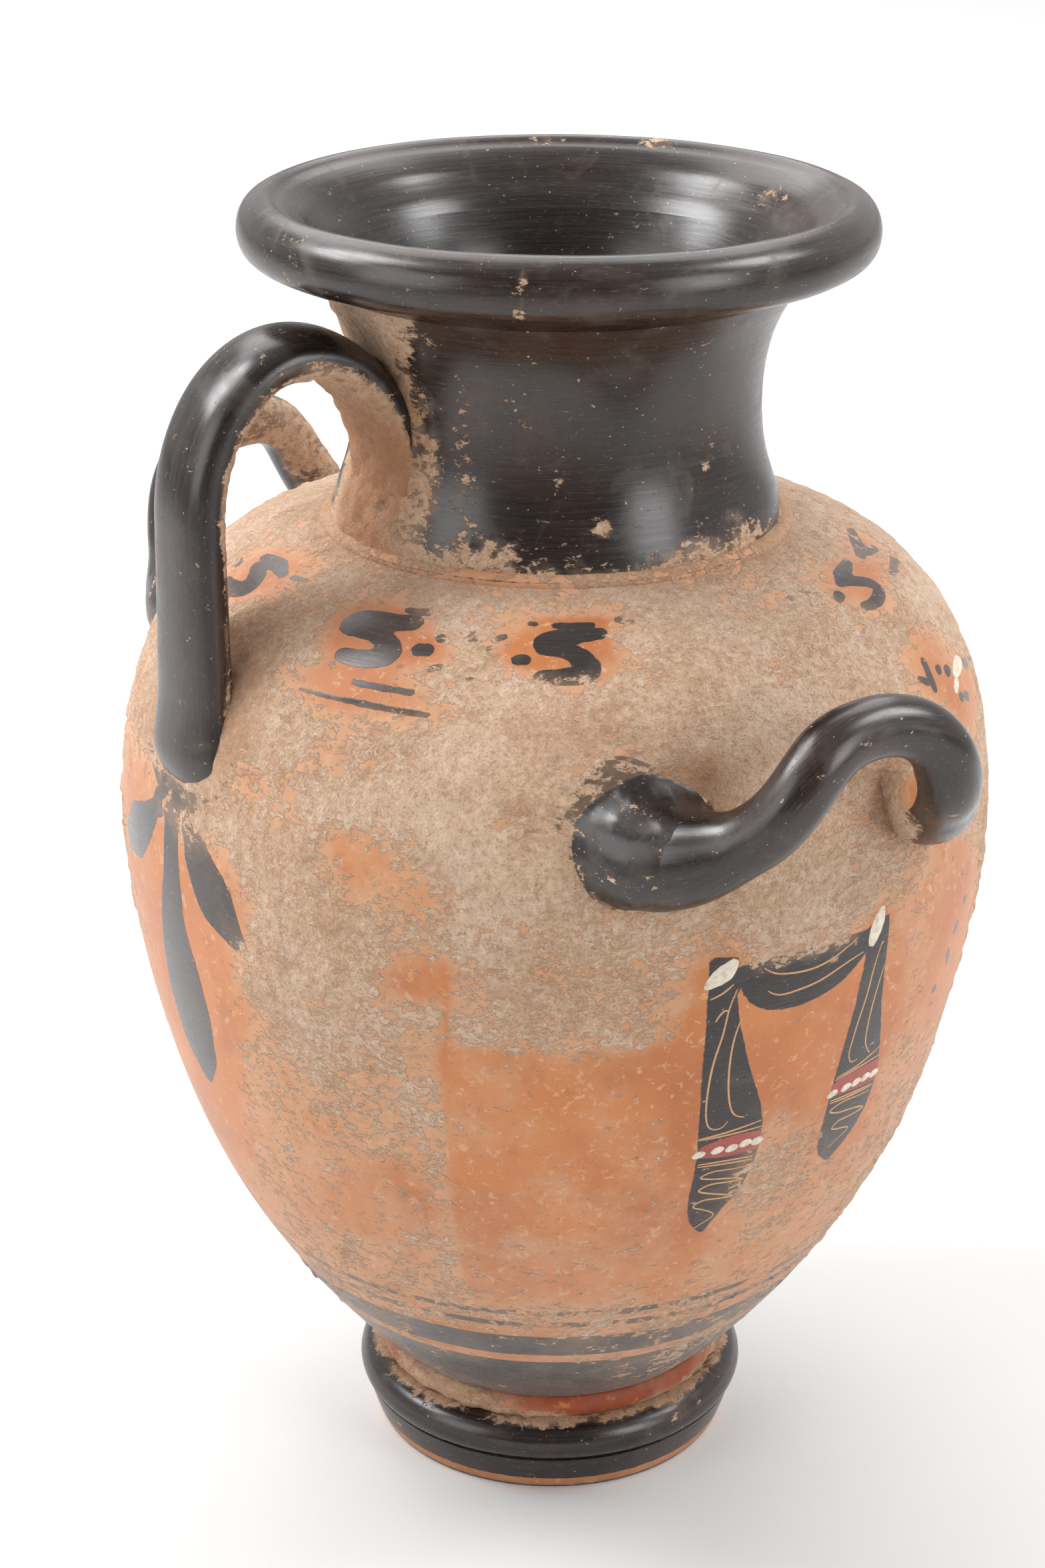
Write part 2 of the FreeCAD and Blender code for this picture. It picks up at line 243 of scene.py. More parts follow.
class Graph:
    """A material, and short names for the nodes that the layers are made of."""

    def __init__(self, name):
        self.material = bpy.data.materials.new(name)
        self.material.use_nodes = True
        self.tree = self.material.node_tree
        self.tree.nodes.clear()
        output = self.node("ShaderNodeOutputMaterial")
        self.shader = self.node("ShaderNodeBsdfPrincipled")
        self.tree.links.new(self.shader.outputs[0], output.inputs[0])
        self.place = self.node("ShaderNodeTexCoord").outputs["Object"]

    def node(self, kind, **settings):
        made = self.tree.nodes.new(kind)
        for key, value in settings.items():
            setattr(made, key, value)
        return made

    def feed(self, socket, value):
        if isinstance(value, bpy.types.NodeSocket):
            self.tree.links.new(value, socket)
        else:
            socket.default_value = value

    def math(self, operation, a, b=0.0, clamp=False):
        made = self.node("ShaderNodeMath", operation=operation, use_clamp=clamp)
        self.feed(made.inputs[0], a)
        self.feed(made.inputs[1], b)
        return made.outputs[0]

    def noise(self, scale, detail=4.0, roughness=0.55, distortion=0.0, at=None):
        made = self.node("ShaderNodeTexNoise")
        self.feed(made.inputs["Vector"], at or self.place)
        for key, value in (("Scale", scale), ("Detail", detail), ("Roughness", roughness),
                           ("Distortion", distortion)):
            made.inputs[key].default_value = value
        return made.outputs["Fac"]

    def grains(self, scale, at=None):
        made = self.node("ShaderNodeTexVoronoi", feature="F1")
        self.feed(made.inputs["Vector"], at or self.place)
        made.inputs["Scale"].default_value = scale
        return made.outputs["Distance"]

    def attribute(self, name, output="Fac"):
        return self.node("ShaderNodeAttribute", attribute_name=name).outputs[output]

    def step(self, value, low, high, to_low=0.0, to_high=1.0):
        made = self.node("ShaderNodeMapRange", interpolation_type="SMOOTHSTEP")
        for socket, given in zip(made.inputs, (value, low, high, to_low, to_high)):
            self.feed(socket, given)
        return made.outputs[0]

    def mix(self, factor, a, b, blend_type="MIX"):
        made = self.node("ShaderNodeMix", data_type="RGBA", blend_type=blend_type)
        for index, given in ((0, factor), (6, a), (7, b)):
            self.feed(made.inputs[index], given)
        return made.outputs[2]

    def blend(self, factor, a, b):
        made = self.node("ShaderNodeMix", data_type="FLOAT")
        for index, given in ((0, factor), (2, a), (3, b)):
            self.feed(made.inputs[index], given)
        return made.outputs[0]

    def times(self, a, b):
        return self.math("MULTIPLY", a, b)

    def plus(self, a, b):
        return self.math("ADD", a, b)

    def tint(self, colour, mask, strength, *display):
        """Lays a display colour over another, at most as strongly as strength."""
        return self.mix(self.times(mask, strength), colour, srgb(*display))

    def finish(self, colour, roughness, relief, specular=0.5):
        """relief is in mm."""
        bump = self.node("ShaderNodeBump")
        bump.inputs["Strength"].default_value = 1.0
        bump.inputs["Distance"].default_value = MM
        self.feed(bump.inputs["Height"], relief)
        self.feed(self.shader.inputs["Base Color"], colour)
        self.feed(self.shader.inputs["Roughness"], roughness)
        self.feed(self.shader.inputs["Normal"], bump.outputs[0])
        self.shader.inputs["Specular IOR Level"].default_value = specular
        return self.material


# ---------------------------------------------------------------- layers: colour, roughness, relief
def clay_layer(g):
    """Bare fired clay: orange, cloudy and stained, with pale soil and dark specks in its pores."""
    cloud = g.step(g.noise(16, 3, 0.6), 0.36, 0.64)
    colour = g.mix(cloud, srgb(178, 102, 46), srgb(195, 120, 62))
    stain = g.step(g.noise(70, 5, 0.65), 0.52, 0.72)
    colour = g.tint(colour, stain, 0.5, 166, 92, 48)
    film = g.step(g.noise(300, 6, 0.72, 0.5), 0.56, 0.64)
    colour = g.tint(colour, film, 0.6, 214, 172, 138)
    speck = g.step(g.noise(900, 3, 0.6), 0.64, 0.74)
    colour = g.tint(colour, speck, 0.5, 138, 78, 46)
    turning = g.noise(1, 3, 0.6, at=g.attribute("grain", "Vector"))
    relief = g.plus(g.times(turning, 0.03), g.times(g.noise(700, 5, 0.7), 0.06))
    return colour, g.blend(film, 0.5, 0.72), relief


def slip_layer(g):
    """Black slip, brushed on while the wheel turned: brown where thin, dusty and scratched."""
    grain = g.attribute("grain", "Vector")
    streak = g.noise(1, 5, 0.65, 0.2, at=grain)
    hair = g.noise(3.2, 3, 0.6, at=grain)
    colour = g.mix(g.step(streak, 0.34, 0.68), srgb(21, 14, 12), srgb(40, 28, 24))
    colour = g.tint(colour, g.step(g.noise(14, 4, 0.6), 0.45, 0.7), 0.5, 64, 42, 33)
    colour = g.tint(colour, g.step(hair, 0.5, 0.72), 0.13, 104, 92, 82)
    dust = g.step(g.noise(55, 6, 0.68, 0.6), 0.5, 0.74)
    colour = g.tint(colour, dust, 0.16, 132, 118, 106)
    scratch = g.step(g.noise(7, 2, 0.5, at=grain), 0.69, 0.74)
    fleck = g.step(g.noise(750, 2, 0.5), 0.71, 0.76)
    pale = g.math("MAXIMUM", g.times(scratch, 0.35), g.times(fleck, 0.75))
    colour = g.mix(pale, colour, srgb(186, 176, 164))
    roughness = g.blend(g.step(streak, 0.3, 0.7), 0.22, 0.31)
    relief = g.plus(g.plus(g.times(streak, 0.03), g.times(hair, 0.008)), 0.08)
    return colour, g.blend(dust, roughness, 0.44), relief


def crust_layer(g):
    """Burial crust: sandy tan soil, granular and pitted, with painted shade in its hollows and
    painted highlight on its lumps, and darker brown in corners and recesses: painted shade there,
    with some browner soil.
    """
    lumps = g.noise(480, 5, 0.74)
    grit = g.noise(1500, 3, 0.7)
    cloud = g.noise(30, 6, 0.66)
    colour = g.mix(g.step(cloud, 0.36, 0.66), srgb(200, 162, 128), srgb(218, 185, 157))
    # painted shade in the pits between the lumps, on the same noise as their relief
    colour = g.tint(colour, g.step(lumps, 0.5, 0.32), 0.62, 174, 124, 84)
    # painted highlight on the lumps' tops
    colour = g.tint(colour, g.step(lumps, 0.5, 0.66), 0.55, 240, 214, 188)
    colour = g.tint(colour, g.step(grit, 0.5, 0.72), 0.5, 232, 206, 178)
    colour = g.tint(colour, g.step(grit, 0.48, 0.3), 0.5, 140, 98, 68)
    # painted shade: crust darker brown in corners, recesses and inside the jar, partly browner soil
    colour = g.tint(colour, g.attribute("damp"), 0.72, 166, 112, 70)
    relief = g.plus(g.times(lumps, 1.3), g.times(grit, 0.45))
    return colour, 0.88, g.plus(relief, -0.72)


def over(g, mask, under, top, lift=0.0):
    """Lays one layer over another where mask is 1. lift is the top layer's thickness in mm."""
    colour = g.mix(mask, under[0], top[0])
    roughness = g.blend(mask, under[1], top[1])
    return colour, roughness, g.blend(mask, under[2], g.plus(top[2], lift))


def crust_mask(g):
    """Where the crust lies: the soft level stored on the mesh, torn at its edges."""
    wide = g.node("ShaderNodeMapping")
    g.feed(wide.inputs["Vector"], g.place)
    wide.inputs["Scale"].default_value = (1.0, 1.0, 1.7)
    torn = g.noise(300, 5, 0.68, 0.35, at=wide.outputs[0])
    broad = g.noise(95, 4, 0.62, at=wide.outputs[0])
    ragged = g.plus(g.times(torn, 2.0), g.times(broad, 1.1))
    reach = g.plus(g.attribute("crust"), g.plus(ragged, -1.55))
    return g.step(reach, 0.42, 0.58)


def dusted(g, layer, start, strength):
    """A thin see-through film of soil, heavier towards the crust."""
    film = g.plus(g.attribute("crust"), g.times(g.noise(60, 7, 0.74), 0.9))
    film = g.times(g.step(film, start, start + 0.6), strength)
    soil = g.mix(g.noise(700, 3, 0.6), srgb(190, 146, 110), srgb(214, 176, 144))
    return g.mix(film, layer[0], soil), g.blend(film, layer[1], 0.85), layer[2]


def crusted(g, layer, lift=0.0):
    """The crust over everything else."""
    return over(g, crust_mask(g), layer, crust_layer(g), lift)


def slip_mask(g):
    """Where slip lies: inside the brush's edge, a little uneven, and not where it flaked off."""
    edge = g.times(g.math("SUBTRACT", g.noise(330, 4, 0.6), 0.5), 1.1)
    brushed = g.step(g.plus(g.attribute("paint"), edge), -0.15, 0.2)
    flake = g.noise(260, 5, 0.66, 0.4)
    chipped = g.step(g.plus(flake, g.attribute("wear")), 0.8, 0.84)
    return g.times(brushed, g.math("SUBTRACT", 1.0, chipped))


def band_mask(g):
    """The bands round the foot of the body, painted on the outside only."""
    height = g.node("ShaderNodeSeparateXYZ")
    g.feed(height.inputs[0], g.place)
    wobble = g.times(g.math("SUBTRACT", g.noise(45, 4, 0.6), 0.5), 1.6)
    at = g.plus(g.times(height.outputs[2], 1000.0), wobble)

    def band(low, high):
        return g.times(g.step(at, low - 0.25, low + 0.25), g.step(at, high + 0.25, high - 0.25))

    broad = g.math("MAXIMUM", band(64.3, 75.4), band(10.0, 59.8))
    thin = g.math("MAXIMUM", band(80.8, 83.2), band(86.8, 89.0))
    broken = g.step(g.noise(85, 5, 0.7), 0.43, 0.5)
    bands = g.math("MAXIMUM", broad, g.times(thin, broken))
    return g.times(bands, g.math("SUBTRACT", 1.0, g.attribute("inner")))


def clay_ware():
    """The body: bare clay that carries bands and brushed ornament."""
    g = Graph("clay_ware")
    painted = g.math("MAXIMUM", slip_mask(g), band_mask(g))
    layers = over(g, painted, dusted(g, clay_layer(g), 0.42, 0.6), slip_layer(g), 0.03)
    red = g.step(g.attribute("red"), -0.15, 0.15)
    madder = g.mix(g.noise(400, 4, 0.6), srgb(140, 52, 46), srgb(172, 84, 74))
    layers = over(g, red, layers, (madder, 0.6, layers[2]), 0.02)
    g.shader.inputs["Sheen Weight"].default_value = 0.2
    g.shader.inputs["Sheen Roughness"].default_value = 0.6
    return g.finish(*crusted(g, dusted(g, layers, 0.5, 0.3), 0.16), specular=0.4)


def slip_ware():
    """Neck, mouth, foot and handles: slip all over, worn through in places."""
    g = Graph("slip_ware")
    layers = over(g, slip_mask(g), dusted(g, clay_layer(g), 0.2, 0.6), slip_layer(g), 0.03)
    return g.finish(*crusted(g, dusted(g, layers, 0.72, 0.6), 0.16), specular=0.66)


def red_ware():
    """The lower fillet: added red over clay, half hidden by crust."""
    g = Graph("red_ware")
    clay = clay_layer(g)
    madder = g.mix(g.noise(300, 5, 0.65), srgb(132, 58, 34), srgb(168, 84, 50))
    left = g.step(g.noise(180, 5, 0.6), 0.68, 0.6)
    layers = over(g, left, clay, (madder, 0.55, clay[2]), 0.02)
    return g.finish(*crusted(g, dusted(g, layers, 0.5, 0.5), 0.16), specular=0.4)


def white_paint():
    """Thick added white, chalky and rubbed."""
    g = Graph("white_paint")
    rubbed = g.step(g.noise(500, 5, 0.7), 0.4, 0.7)
    colour = g.mix(rubbed, srgb(226, 216, 200), srgb(196, 180, 160))
    layers = crusted(g, (colour, 0.8, g.times(g.noise(900, 4, 0.6), 0.08)))
    return g.finish(*layers, specular=0.3)


def incised_clay():
    """The bottom of a line cut through the slip."""
    g = Graph("incised_clay")
    colour = g.mix(g.noise(500, 4, 0.6), srgb(186, 140, 100), srgb(214, 170, 128))
    layers = crusted(g, (colour, 0.7, g.times(g.noise(900, 4, 0.6), 0.05)))
    return g.finish(*layers, specular=0.3)


CLAY, SLIP, RED = clay_ware(), slip_ware(), red_ware()
WHITE, INCISED = white_paint(), incised_clay()


# ---------------------------------------------------------------- ornament on the body
def on_plane(theta, s, radius):
    """Places on the wall laid out flat, in mm, as if it had one radius."""
    return np.stack([np.radians(theta) * radius, np.broadcast_to(s, np.shape(theta))], -1)


def stroke_field(theta, s, radius_at, path, widths):
    """Signed distance from a brush stroke's edge, positive inside it."""
    path = np.array(path, float)
    radius = radius_at(path[:, 1].mean())
    knots = on_plane(path[:, 0], path[:, 1], radius)
    line = smooth_line(knots, 1.5) if len(knots) > 2 else knots
    run, marks = lengths_along(line), lengths_along(knots)
    half = np.interp(run, marks * (run[-1] / marks[-1]), widths)
    return segment_field(theta, s, radius, line, half)


def segment_field(theta, s, radius, line, half):
    """Signed distance in mm from a line with a half width at each of its points."""
    field = np.full(theta.shape, BARE)
    reach = half.max() + 6
    flat = on_plane(theta, s, radius)
    near = ((flat > line.min(0) - reach) & (flat < line.max(0) + reach)).all(-1)
    spots = flat[near]
    best = np.full(len(spots), BARE)
    for a, b, from_half, to_half in zip(line, line[1:], half, half[1:]):
        along = b - a
        t = np.clip(((spots - a) @ along) / max(along @ along, 1e-9), 0, 1)
        away = np.linalg.norm(spots - a - t[:, None] * along, axis=1)
        best = np.maximum(best, from_half + (to_half - from_half) * t - away)
    field[near] = best
    return field


def outline_field(theta, s, radius_at, *sides):
    """Signed distance from a closed outline made of smooth sides, positive inside it."""
    sides = [np.array(side, float) for side in sides]
    radius = radius_at(np.vstack(sides)[:, 1].mean())
    flat_sides = [on_plane(side[:, 0], side[:, 1], radius) for side in sides]
    smooth = [smooth_line(side, 1.5) if len(side) > 2 else side for side in flat_sides]
    line = np.vstack(smooth + [smooth[0][:1]])
    edge = segment_field(theta, s, radius, line, np.zeros(len(line)))
    flat = on_plane(theta, s, radius)
    inside = np.zeros(theta.shape, bool)
    for a, b in zip(line, line[1:]):
        crosses = (a[1] > flat[..., 1]) != (b[1] > flat[..., 1])
        rise = b[1] - a[1] if abs(b[1] - a[1]) > 1e-9 else 1e-9
        inside ^= crosses & (flat[..., 0] < a[0] + (b[0] - a[0]) * (flat[..., 1] - a[1]) / rise)
    return np.where(inside, np.abs(edge), edge)


LEFT_TAIL = (
    [(18.9, 205), (18.9, 184), (19, 165), (19.4, 148), (19.7, 130), (20, 114), (21.4, 108),
     (23, 105)],
    [(23, 105), (25.2, 114), (27.4, 122), (28.8, 133), (28.9, 145), (27.4, 157), (25.3, 169),
     (23.9, 179), (22.9, 190), (22.7, 204)],
)
RIGHT_TAIL = (
    [(42.3, 203), (41.6, 185), (40.6, 167), (40, 152), (39.9, 138), (40.9, 125), (43.5, 120)],
    [(43.5, 120), (46.4, 126), (48.6, 134), (49.2, 147), (48.2, 160), (46.8, 173), (46.1, 188),
     (46, 204)],
)
SWAG = (
    [(22.8, 201), (32, 202), (42.6, 202)],
    [(42.6, 196), (39, 189), (34, 185), (29, 184.6), (25, 188), (22.8, 196)],
)
LEFT_SASH = ([(19.8, 141), (24, 143.3), (29, 143)], [(29, 136.6), (24, 135.8), (19.8, 137.2)])
RIGHT_SASH = ([(39.9, 152), (44, 153.4), (49.2, 153.6)], [(49.2, 145.6), (44, 146.2), (39.9, 147)])

STROKES = [  # path of (theta, s), half width along it
    ([(-25.5, 301), (-31, 299.5), (-35.5, 298), (-36.5, 295.5), (-33, 294.3), (-28, 292.3),
     (-26.6, 289), (-29, 286.2), (-34, 285.4)], [3.4, 3.8, 3.6, 2.6, 2.6, 3.2, 3.6, 3.2, 2.4]),
    ([(-37.2, 297), (-36, 299.8), (-34, 300.6)], [1.6, 1.9, 1.6]),
    ([(-21.9, 291.6), (-20.7, 291.8)], [2.3, 2.3]),
    ([(7.6, 301), (2.6, 300.2), (-1.6, 298.2), (-2.2, 296.4), (0.8, 295), (4, 292), (5, 288.4),
     (2.6, 286.2), (-2, 285.9)], [2.4, 3.0, 3.2, 2.6, 2.6, 3.4, 3.6, 3.0, 2.2]),
    ([(-5.8, 291.2), (-4.8, 291.2)], [1.9, 1.9]), ([(-30, 278.2), (-20.6, 278)], [0.95, 1.0]),
    ([(-38, 272.6), (-27, 272.6), (-17.5, 272.2)], [0.55, 0.95, 0.9]),
    ([(0, 304.8), (6.4, 304.8)], [1.2, 1.2]), ([(-28, 305.8), (-24, 306)], [1.3, 1.6]),
    ([(-19.4, 305.6), (-18.4, 305.4)], [1.4, 1.4]),
    ([(-19.3, 296.8), (-19.1, 296.4)], [1.6, 1.6]), ([(-16, 297.6), (-14.2, 300.4)], [1.2, 1.5]),
    ([(-12.8, 298.4), (-12, 299)], [1.9, 1.5]), ([(-10.2, 297.6), (-8.8, 299.2)], [1.0, 1.3]),
    ([(-14.2, 296.8), (-13.8, 296.8)], [0.9, 0.9]), ([(-11, 293.4), (-10.6, 294)], [0.9, 0.9]),
    ([(-19, 285.6), (-17.8, 286.6)], [1.1, 1.3]), ([(-12.8, 284.2), (-12.6, 284.2)], [0.9, 0.9]),
    ([(-10.8, 285.2), (-10, 286.6)], [0.9, 1.0]), ([(-5.4, 277.6), (-4.2, 278)], [1.0, 0.9]),
    ([(1.4, 272.4), (3, 272.8)], [0.9, 0.7]), ([(3.2, 277.4), (3.6, 277.4)], [0.7, 0.7]),
    ([(11.8, 306.4), (13.2, 305.2)], [1.5, 1.7]), ([(-4.4, 305.4), (-3.8, 305.2)], [1.2, 1.2]),
    # right of the near handle's left root, and round to the right edge
    ([(46.8, 302.2), (50, 303.6), (52.2, 302)], [1.0, 0.8, 1.5]),
    ([(50, 297.4), (50.6, 296.8)], [1.0, 1.0]), ([(56.6, 295.8), (58, 296.8)], [1.8, 2.0]),
    ([(61, 299.6), (65, 301.6), (71.5, 303.2)], [1.2, 3.0, 1.6]),
    ([(62, 299.4), (66.6, 296.6), (69, 292.6), (66, 289.4), (60.6, 289.6)], [1.4, 2.6, 2.4, 2.2,
     1.8]),
    ([(77.5, 301), (84, 303), (90, 304.4)], [1.8, 2.4, 1.6]),
    ([(80, 300), (86, 297)], [1.6, 1.6]), ([(78, 290.2), (85.6, 290.4)], [1.6, 1.8]),
    ([(64.2, 266.6), (64, 262.4), (63.8, 258.8)], [1.9, 1.9, 1.6]),
    ([(60.8, 263.8), (62.6, 261.6)], [1.0, 1.4]), ([(67.2, 262.2), (67.8, 262)], [1.6, 1.6]),
    ([(70, 259.8), (70.8, 259.4)], [1.9, 1.7]), ([(71.6, 250.2), (72.4, 249.8)], [1.5, 1.5]),
    ([(74, 248.8), (75, 248)], [1.7, 1.5]), ([(79.6, 255), (82, 253)], [1.9, 1.6]),
    ([(85, 252), (87.5, 249.6)], [1.9, 1.6]), ([(67.4, 190.4), (67.6, 190.2)], [1.5, 1.5]),
    ([(65.2, 184), (64.8, 183.2)], [1.6, 1.6]), ([(63.6, 176), (64.2, 173)], [1.8, 1.5]),
    ([(61, 166.4), (61.4, 166)], [1.6, 1.4]),
    # left of the strap handle
    ([(-72, 303.4), (-66, 304.6), (-61, 303)], [1.8, 3.0, 1.8]),
    ([(-70, 300), (-66, 297.4), (-64, 293.6), (-67, 290.4), (-71.5, 290)], [2.2, 3.6, 3.6, 3.2,
     2.2]),
    ([(-58, 304), (-54, 305)], [1.2, 1.2]), ([(-76, 296), (-75, 295.6)], [1.6, 1.6]),
    # leaves under the strap handle
    ([(-56.4, 229), (-56.6, 214), (-56.4, 204), (-56.9, 192), (-56.6, 178), (-56.6, 164),
     (-56.8, 150), (-56.8, 139)], [4.4, 4.4, 5.2, 7.2, 10.6, 12.6, 10.6, 3.6]),
    ([(-52.8, 225), (-50.2, 216), (-46.6, 206), (-42.4, 196)], [1.8, 6.6, 8.6, 3.4]),
    ([(-61, 224), (-64, 216.6), (-68.4, 209.6), (-72.4, 204.6)], [2.2, 5.4, 8.6, 5.0]),
    ([(-61.2, 226), (-60.2, 223)], [2.6, 2.8]),
    # ragged slip round the strap handle's root
    ([(-66, 243), (-60, 232), (-54, 230.6), (-49, 236), (-46.4, 246)], [4.0, 4.0, 3.6, 4.2, 3.0]),
    # slip round the side handle's left root
    ([(2.6, 236), (1.6, 244), (3.4, 252), (8, 257), (12.6, 254)], [3.4, 2.6, 3.6, 6.0, 5.0]),
    ([(3.6, 229), (9, 226), (15, 227)], [3.0, 3.4, 2.6]),
    ([(0.6, 250), (0.2, 240), (1.2, 231)], [0.5, 0.9, 0.5]),
]

CRUST_SPOTS = [  # theta, s, half width, half height, amount
    (-33, 212, 18, 60, 0.16), (-34, 105, 26, 44, -0.1), (5, 112, 17, 30, 0.1),
    (-20, 84, 44, 14, 0.14), (-36, 285, 14, 26, -0.2), (-31, 295, 9, 13, -0.62),
    (-27, 275, 13, 8, -0.62), (-21, 291, 5, 7, -0.5), (-20.5, 226, 9, 14, -0.5),
    (-25, 232, 4.5, 9, -0.35), (-16.5, 200, 6, 9, -0.5), (-12.8, 190, 0.6, 14, -0.28),
    (-26, 258, 9, 7, -0.45), (-39, 242, 9, 12, -0.42), (-5, 245, 4.4, 7, -0.5),
    (22, 98, 22, 20, -0.16), (-30, 120, 20, 40, -0.06), (2, 295, 9, 13, -0.62),
    (-5, 292, 4, 5, -0.4), (31, 172, 16, 26, -0.62), (21, 150, 5, 60, -0.5),
    (45, 160, 6, 44, -0.5), (33, 192, 11, 9, -0.35), (34, 132, 6, 22, 0.05),
    (66, 266, 9, 12, -0.6), (75, 250, 12, 10, -0.55), (66, 297, 10, 12, -0.6),
    (84, 298, 11, 12, -0.6), (-66, 298, 12, 13, -0.6), (-67, 208, 12, 26, -0.6),
    (-56.6, 172, 10, 42, -0.75), (-46, 206, 8, 18, -0.6), (-57, 231, 10, 5, -0.3),
    (-48, 178, 8, 16, -0.3), (-66, 130, 16, 50, -0.4), (10, 245, 22, 22, 0.3),
    (40, 262, 26, 16, 0.2), (50, 236, 12, 12, -0.1), (-10, 255, 20, 30, 0.16),
    (60, 190, 12, 30, -0.3), (-57, 258, 16, 34, 0.3), (66, 180, 8, 26, -0.4),
    (4, 62, 30, 12, 0.16), (58, 110, 18, 40, -0.05), (8.5, 246, 9.5, 20, -0.62),
    (20, 200, 3.5, 5, -0.3), (43.5, 202, 3.5, 6, -0.3), (-5, 300, 40, 8, -0.06),
    (3, 305.5, 7, 3, -0.4),
]


SHADE_SPOTS = [  # corners by the handles' roots: painted shade, darker brown crust there, partly browner soil
    (17, 253, 7, 11, 0.9), (13, 224, 8, 5, 0.5), (53, 240, 8, 16, 0.8), (-47, 258, 5, 24, 0.7),
    (-67, 258, 5, 24, 0.7), (193, 250, 12, 22, 0.7), (233, 250, 12, 22, 0.7),
    (2, 270, 12, 10, 0.3),
]


S_START = 0.8                       # length of the outline below s = 0


def body_line():
    """Rows of the body's outside, finer on the shoulder, with one exactly at the joint."""
    fine = smooth_line(BODY_OUTLINE, 0.1)
    split = int(np.argmin(np.abs(fine[:, 1] - BODY_JOINT_Z)))
    fine[split, 1] = BODY_JOINT_Z
    return even_line(fine[:split + 1], 1.6), even_line(fine[split:], 1.05)


def body_angles():
    """Columns round the body, closer together where the photograph shows it."""
    return np.r_[np.arange(-80, 91.9, 0.6), np.arange(92, 279.5, 1.3)]


class Body:
    """The outside of the body, shared by its two pieces and by all that lies on it."""

    def __init__(self):
        low, high = body_line()
        self.low_rows, self.high_rows = low, high
        self.rows = np.vstack([low, high[1:]])
        self.wall = wall = Turned(self.rows, body_angles(), False)
        self.s = wall.s - S_START
        theta = turn_between(wall.theta, 0)
        self.crust = self.crust_level(theta, self.s, wall.points)
        lumps = fractal(wall.points, 9, 4, 3.0)
        edge = fractal(wall.points, 4, 3, 8.0)
        thick = smoothstep(0.42, 0.72, self.crust + 0.35 * edge)
        wobble = 0.25 * fractal(wall.points, 60, 2, 5.0)
        self.relief = thick * (0.42 + 0.5 * lumps + 0.3 * edge) + wobble
        self.relief *= smoothstep(0, 10, self.s + 2) * smoothstep(325, 318, self.s)
        # painted shade: darker crust under the neck and by the handles' roots, with some random
        # browner soil
        under_neck = 0.36 * smoothstep(312, 321, self.s)
        self.damp = np.clip(under_neck + patches(theta, self.s, SHADE_SPOTS) + 0.3 * lumps, 0, 1)
        self.paint, self.red = self.ornament(theta, self.s)
        self.points = wall.points + wall.normals * self.relief[..., None]

    def radius_at(self, s):
        return np.interp(s, self.s[:, 0], self.wall.rows[:, 0])

    def crust_level(self, theta, s, points):
        """How likely crust is: heaviest on the shoulder, wiped off a window on the front."""
        top = smoothstep(150, 235, s)
        level = 0.46 + 0.22 * top - 0.16 * smoothstep(110, 60, s)
        level = level + patches(theta, s, CRUST_SPOTS)
        wiped = smoothstep(-14.8, -13.2, theta) * smoothstep(21, 16, theta) \
            * smoothstep(182, 176, s)
        level = level * (1 - 0.64 * wiped * smoothstep(66, 84, s))
        level = level + 0.2 * fractal(points, 55, 3, 1.0) + 0.12 * fractal(points, 14, 2, 2.0)
        return np.clip(level, 0, 1)

    def ornament(self, theta, s):
        """The fields of black slip and of added red."""
        paint = np.full(theta.shape, BARE)
        for path, widths in STROKES:
            paint = np.maximum(paint, stroke_field(theta, s, self.radius_at, path, widths))
        for sides in (LEFT_TAIL, RIGHT_TAIL, SWAG):
            paint = np.maximum(paint, outline_field(theta, s, self.radius_at, *sides))
        red = np.full(theta.shape, BARE)
        for sides in (LEFT_SASH, RIGHT_SASH):
            red = np.maximum(red, outline_field(theta, s, self.radius_at, *sides))
        return paint, red

    def on(self, theta, s, lift):
        """Points over the finished surface, with the crust level there."""
        theta, s = np.asarray(theta, float), np.asarray(s, float)
        angles = self.wall.angles
        i = np.clip(np.searchsorted(self.s[:, 0], s, side="right") - 1, 0, len(self.s) - 2)
        u = ((s - self.s[i, 0]) / (self.s[i + 1, 0] - self.s[i, 0]))[..., None]
        turned = (theta - angles[0]) % 360 + angles[0]
        j = np.clip(np.searchsorted(angles, turned, side="right") - 1, 0, len(angles) - 1)
        k = (j + 1) % len(angles)
        span = np.where(k == 0, angles[0] + 360, angles[k]) - angles[j]
        v = ((turned - angles[j]) / span)[..., None]

        def read(grid):
            low = grid[i, j] * (1 - v) + grid[i, k] * v
            high = grid[i + 1, j] * (1 - v) + grid[i + 1, k] * v
            return low * (1 - u) + high * u

        points = read(self.points)
        normals = read(self.wall.normals)
        normals = normals / np.linalg.norm(normals, axis=-1)[..., None]
        crust = read(self.crust[..., None])[..., 0]
        return points + normals * np.asarray(lift, float)[..., None], crust

    def inner_rows(self):
        return inner_line(self.rows, WALL)


BODY = Body()


def body_piece(name, below, wall_rows, plain, closed, node, poles=None):
    """Part of the body: its stretch of the outer wall, with plain rows before and after it."""
    rows = np.vstack([below, BODY.rows[wall_rows], plain])
    turned = Turned(rows, BODY.wall.angles, closed)
    first = len(below)
    outside = slice(first, first + len(BODY.rows[wall_rows]))
    turned.normals[outside] = BODY.wall.normals[wall_rows]
    relief = np.zeros(turned.theta.shape)
    relief[outside] = BODY.relief[wall_rows]
    on_wall = {"crust": BODY.crust, "paint": BODY.paint, "red": BODY.red, "damp": BODY.damp}
    fields = {}
    # the underside and the inside get darker crust: painted shade
    for key, before, after in (("crust", 0.3, 0.2), ("paint", BARE, BARE), ("red", BARE, BARE),
                               ("damp", 0.3, 0.6), ("inner", 0.3, 1.0), ("wear", 0.3, 0.0)):
        fields[key] = np.full(relief.shape, after)
        fields[key][:first] = before
        fields[key][outside] = on_wall[key][wall_rows] if key in on_wall else 0.0
    return turned.piece(name, relief, "orange_clay", CLAY, node, poles=poles, **fields)


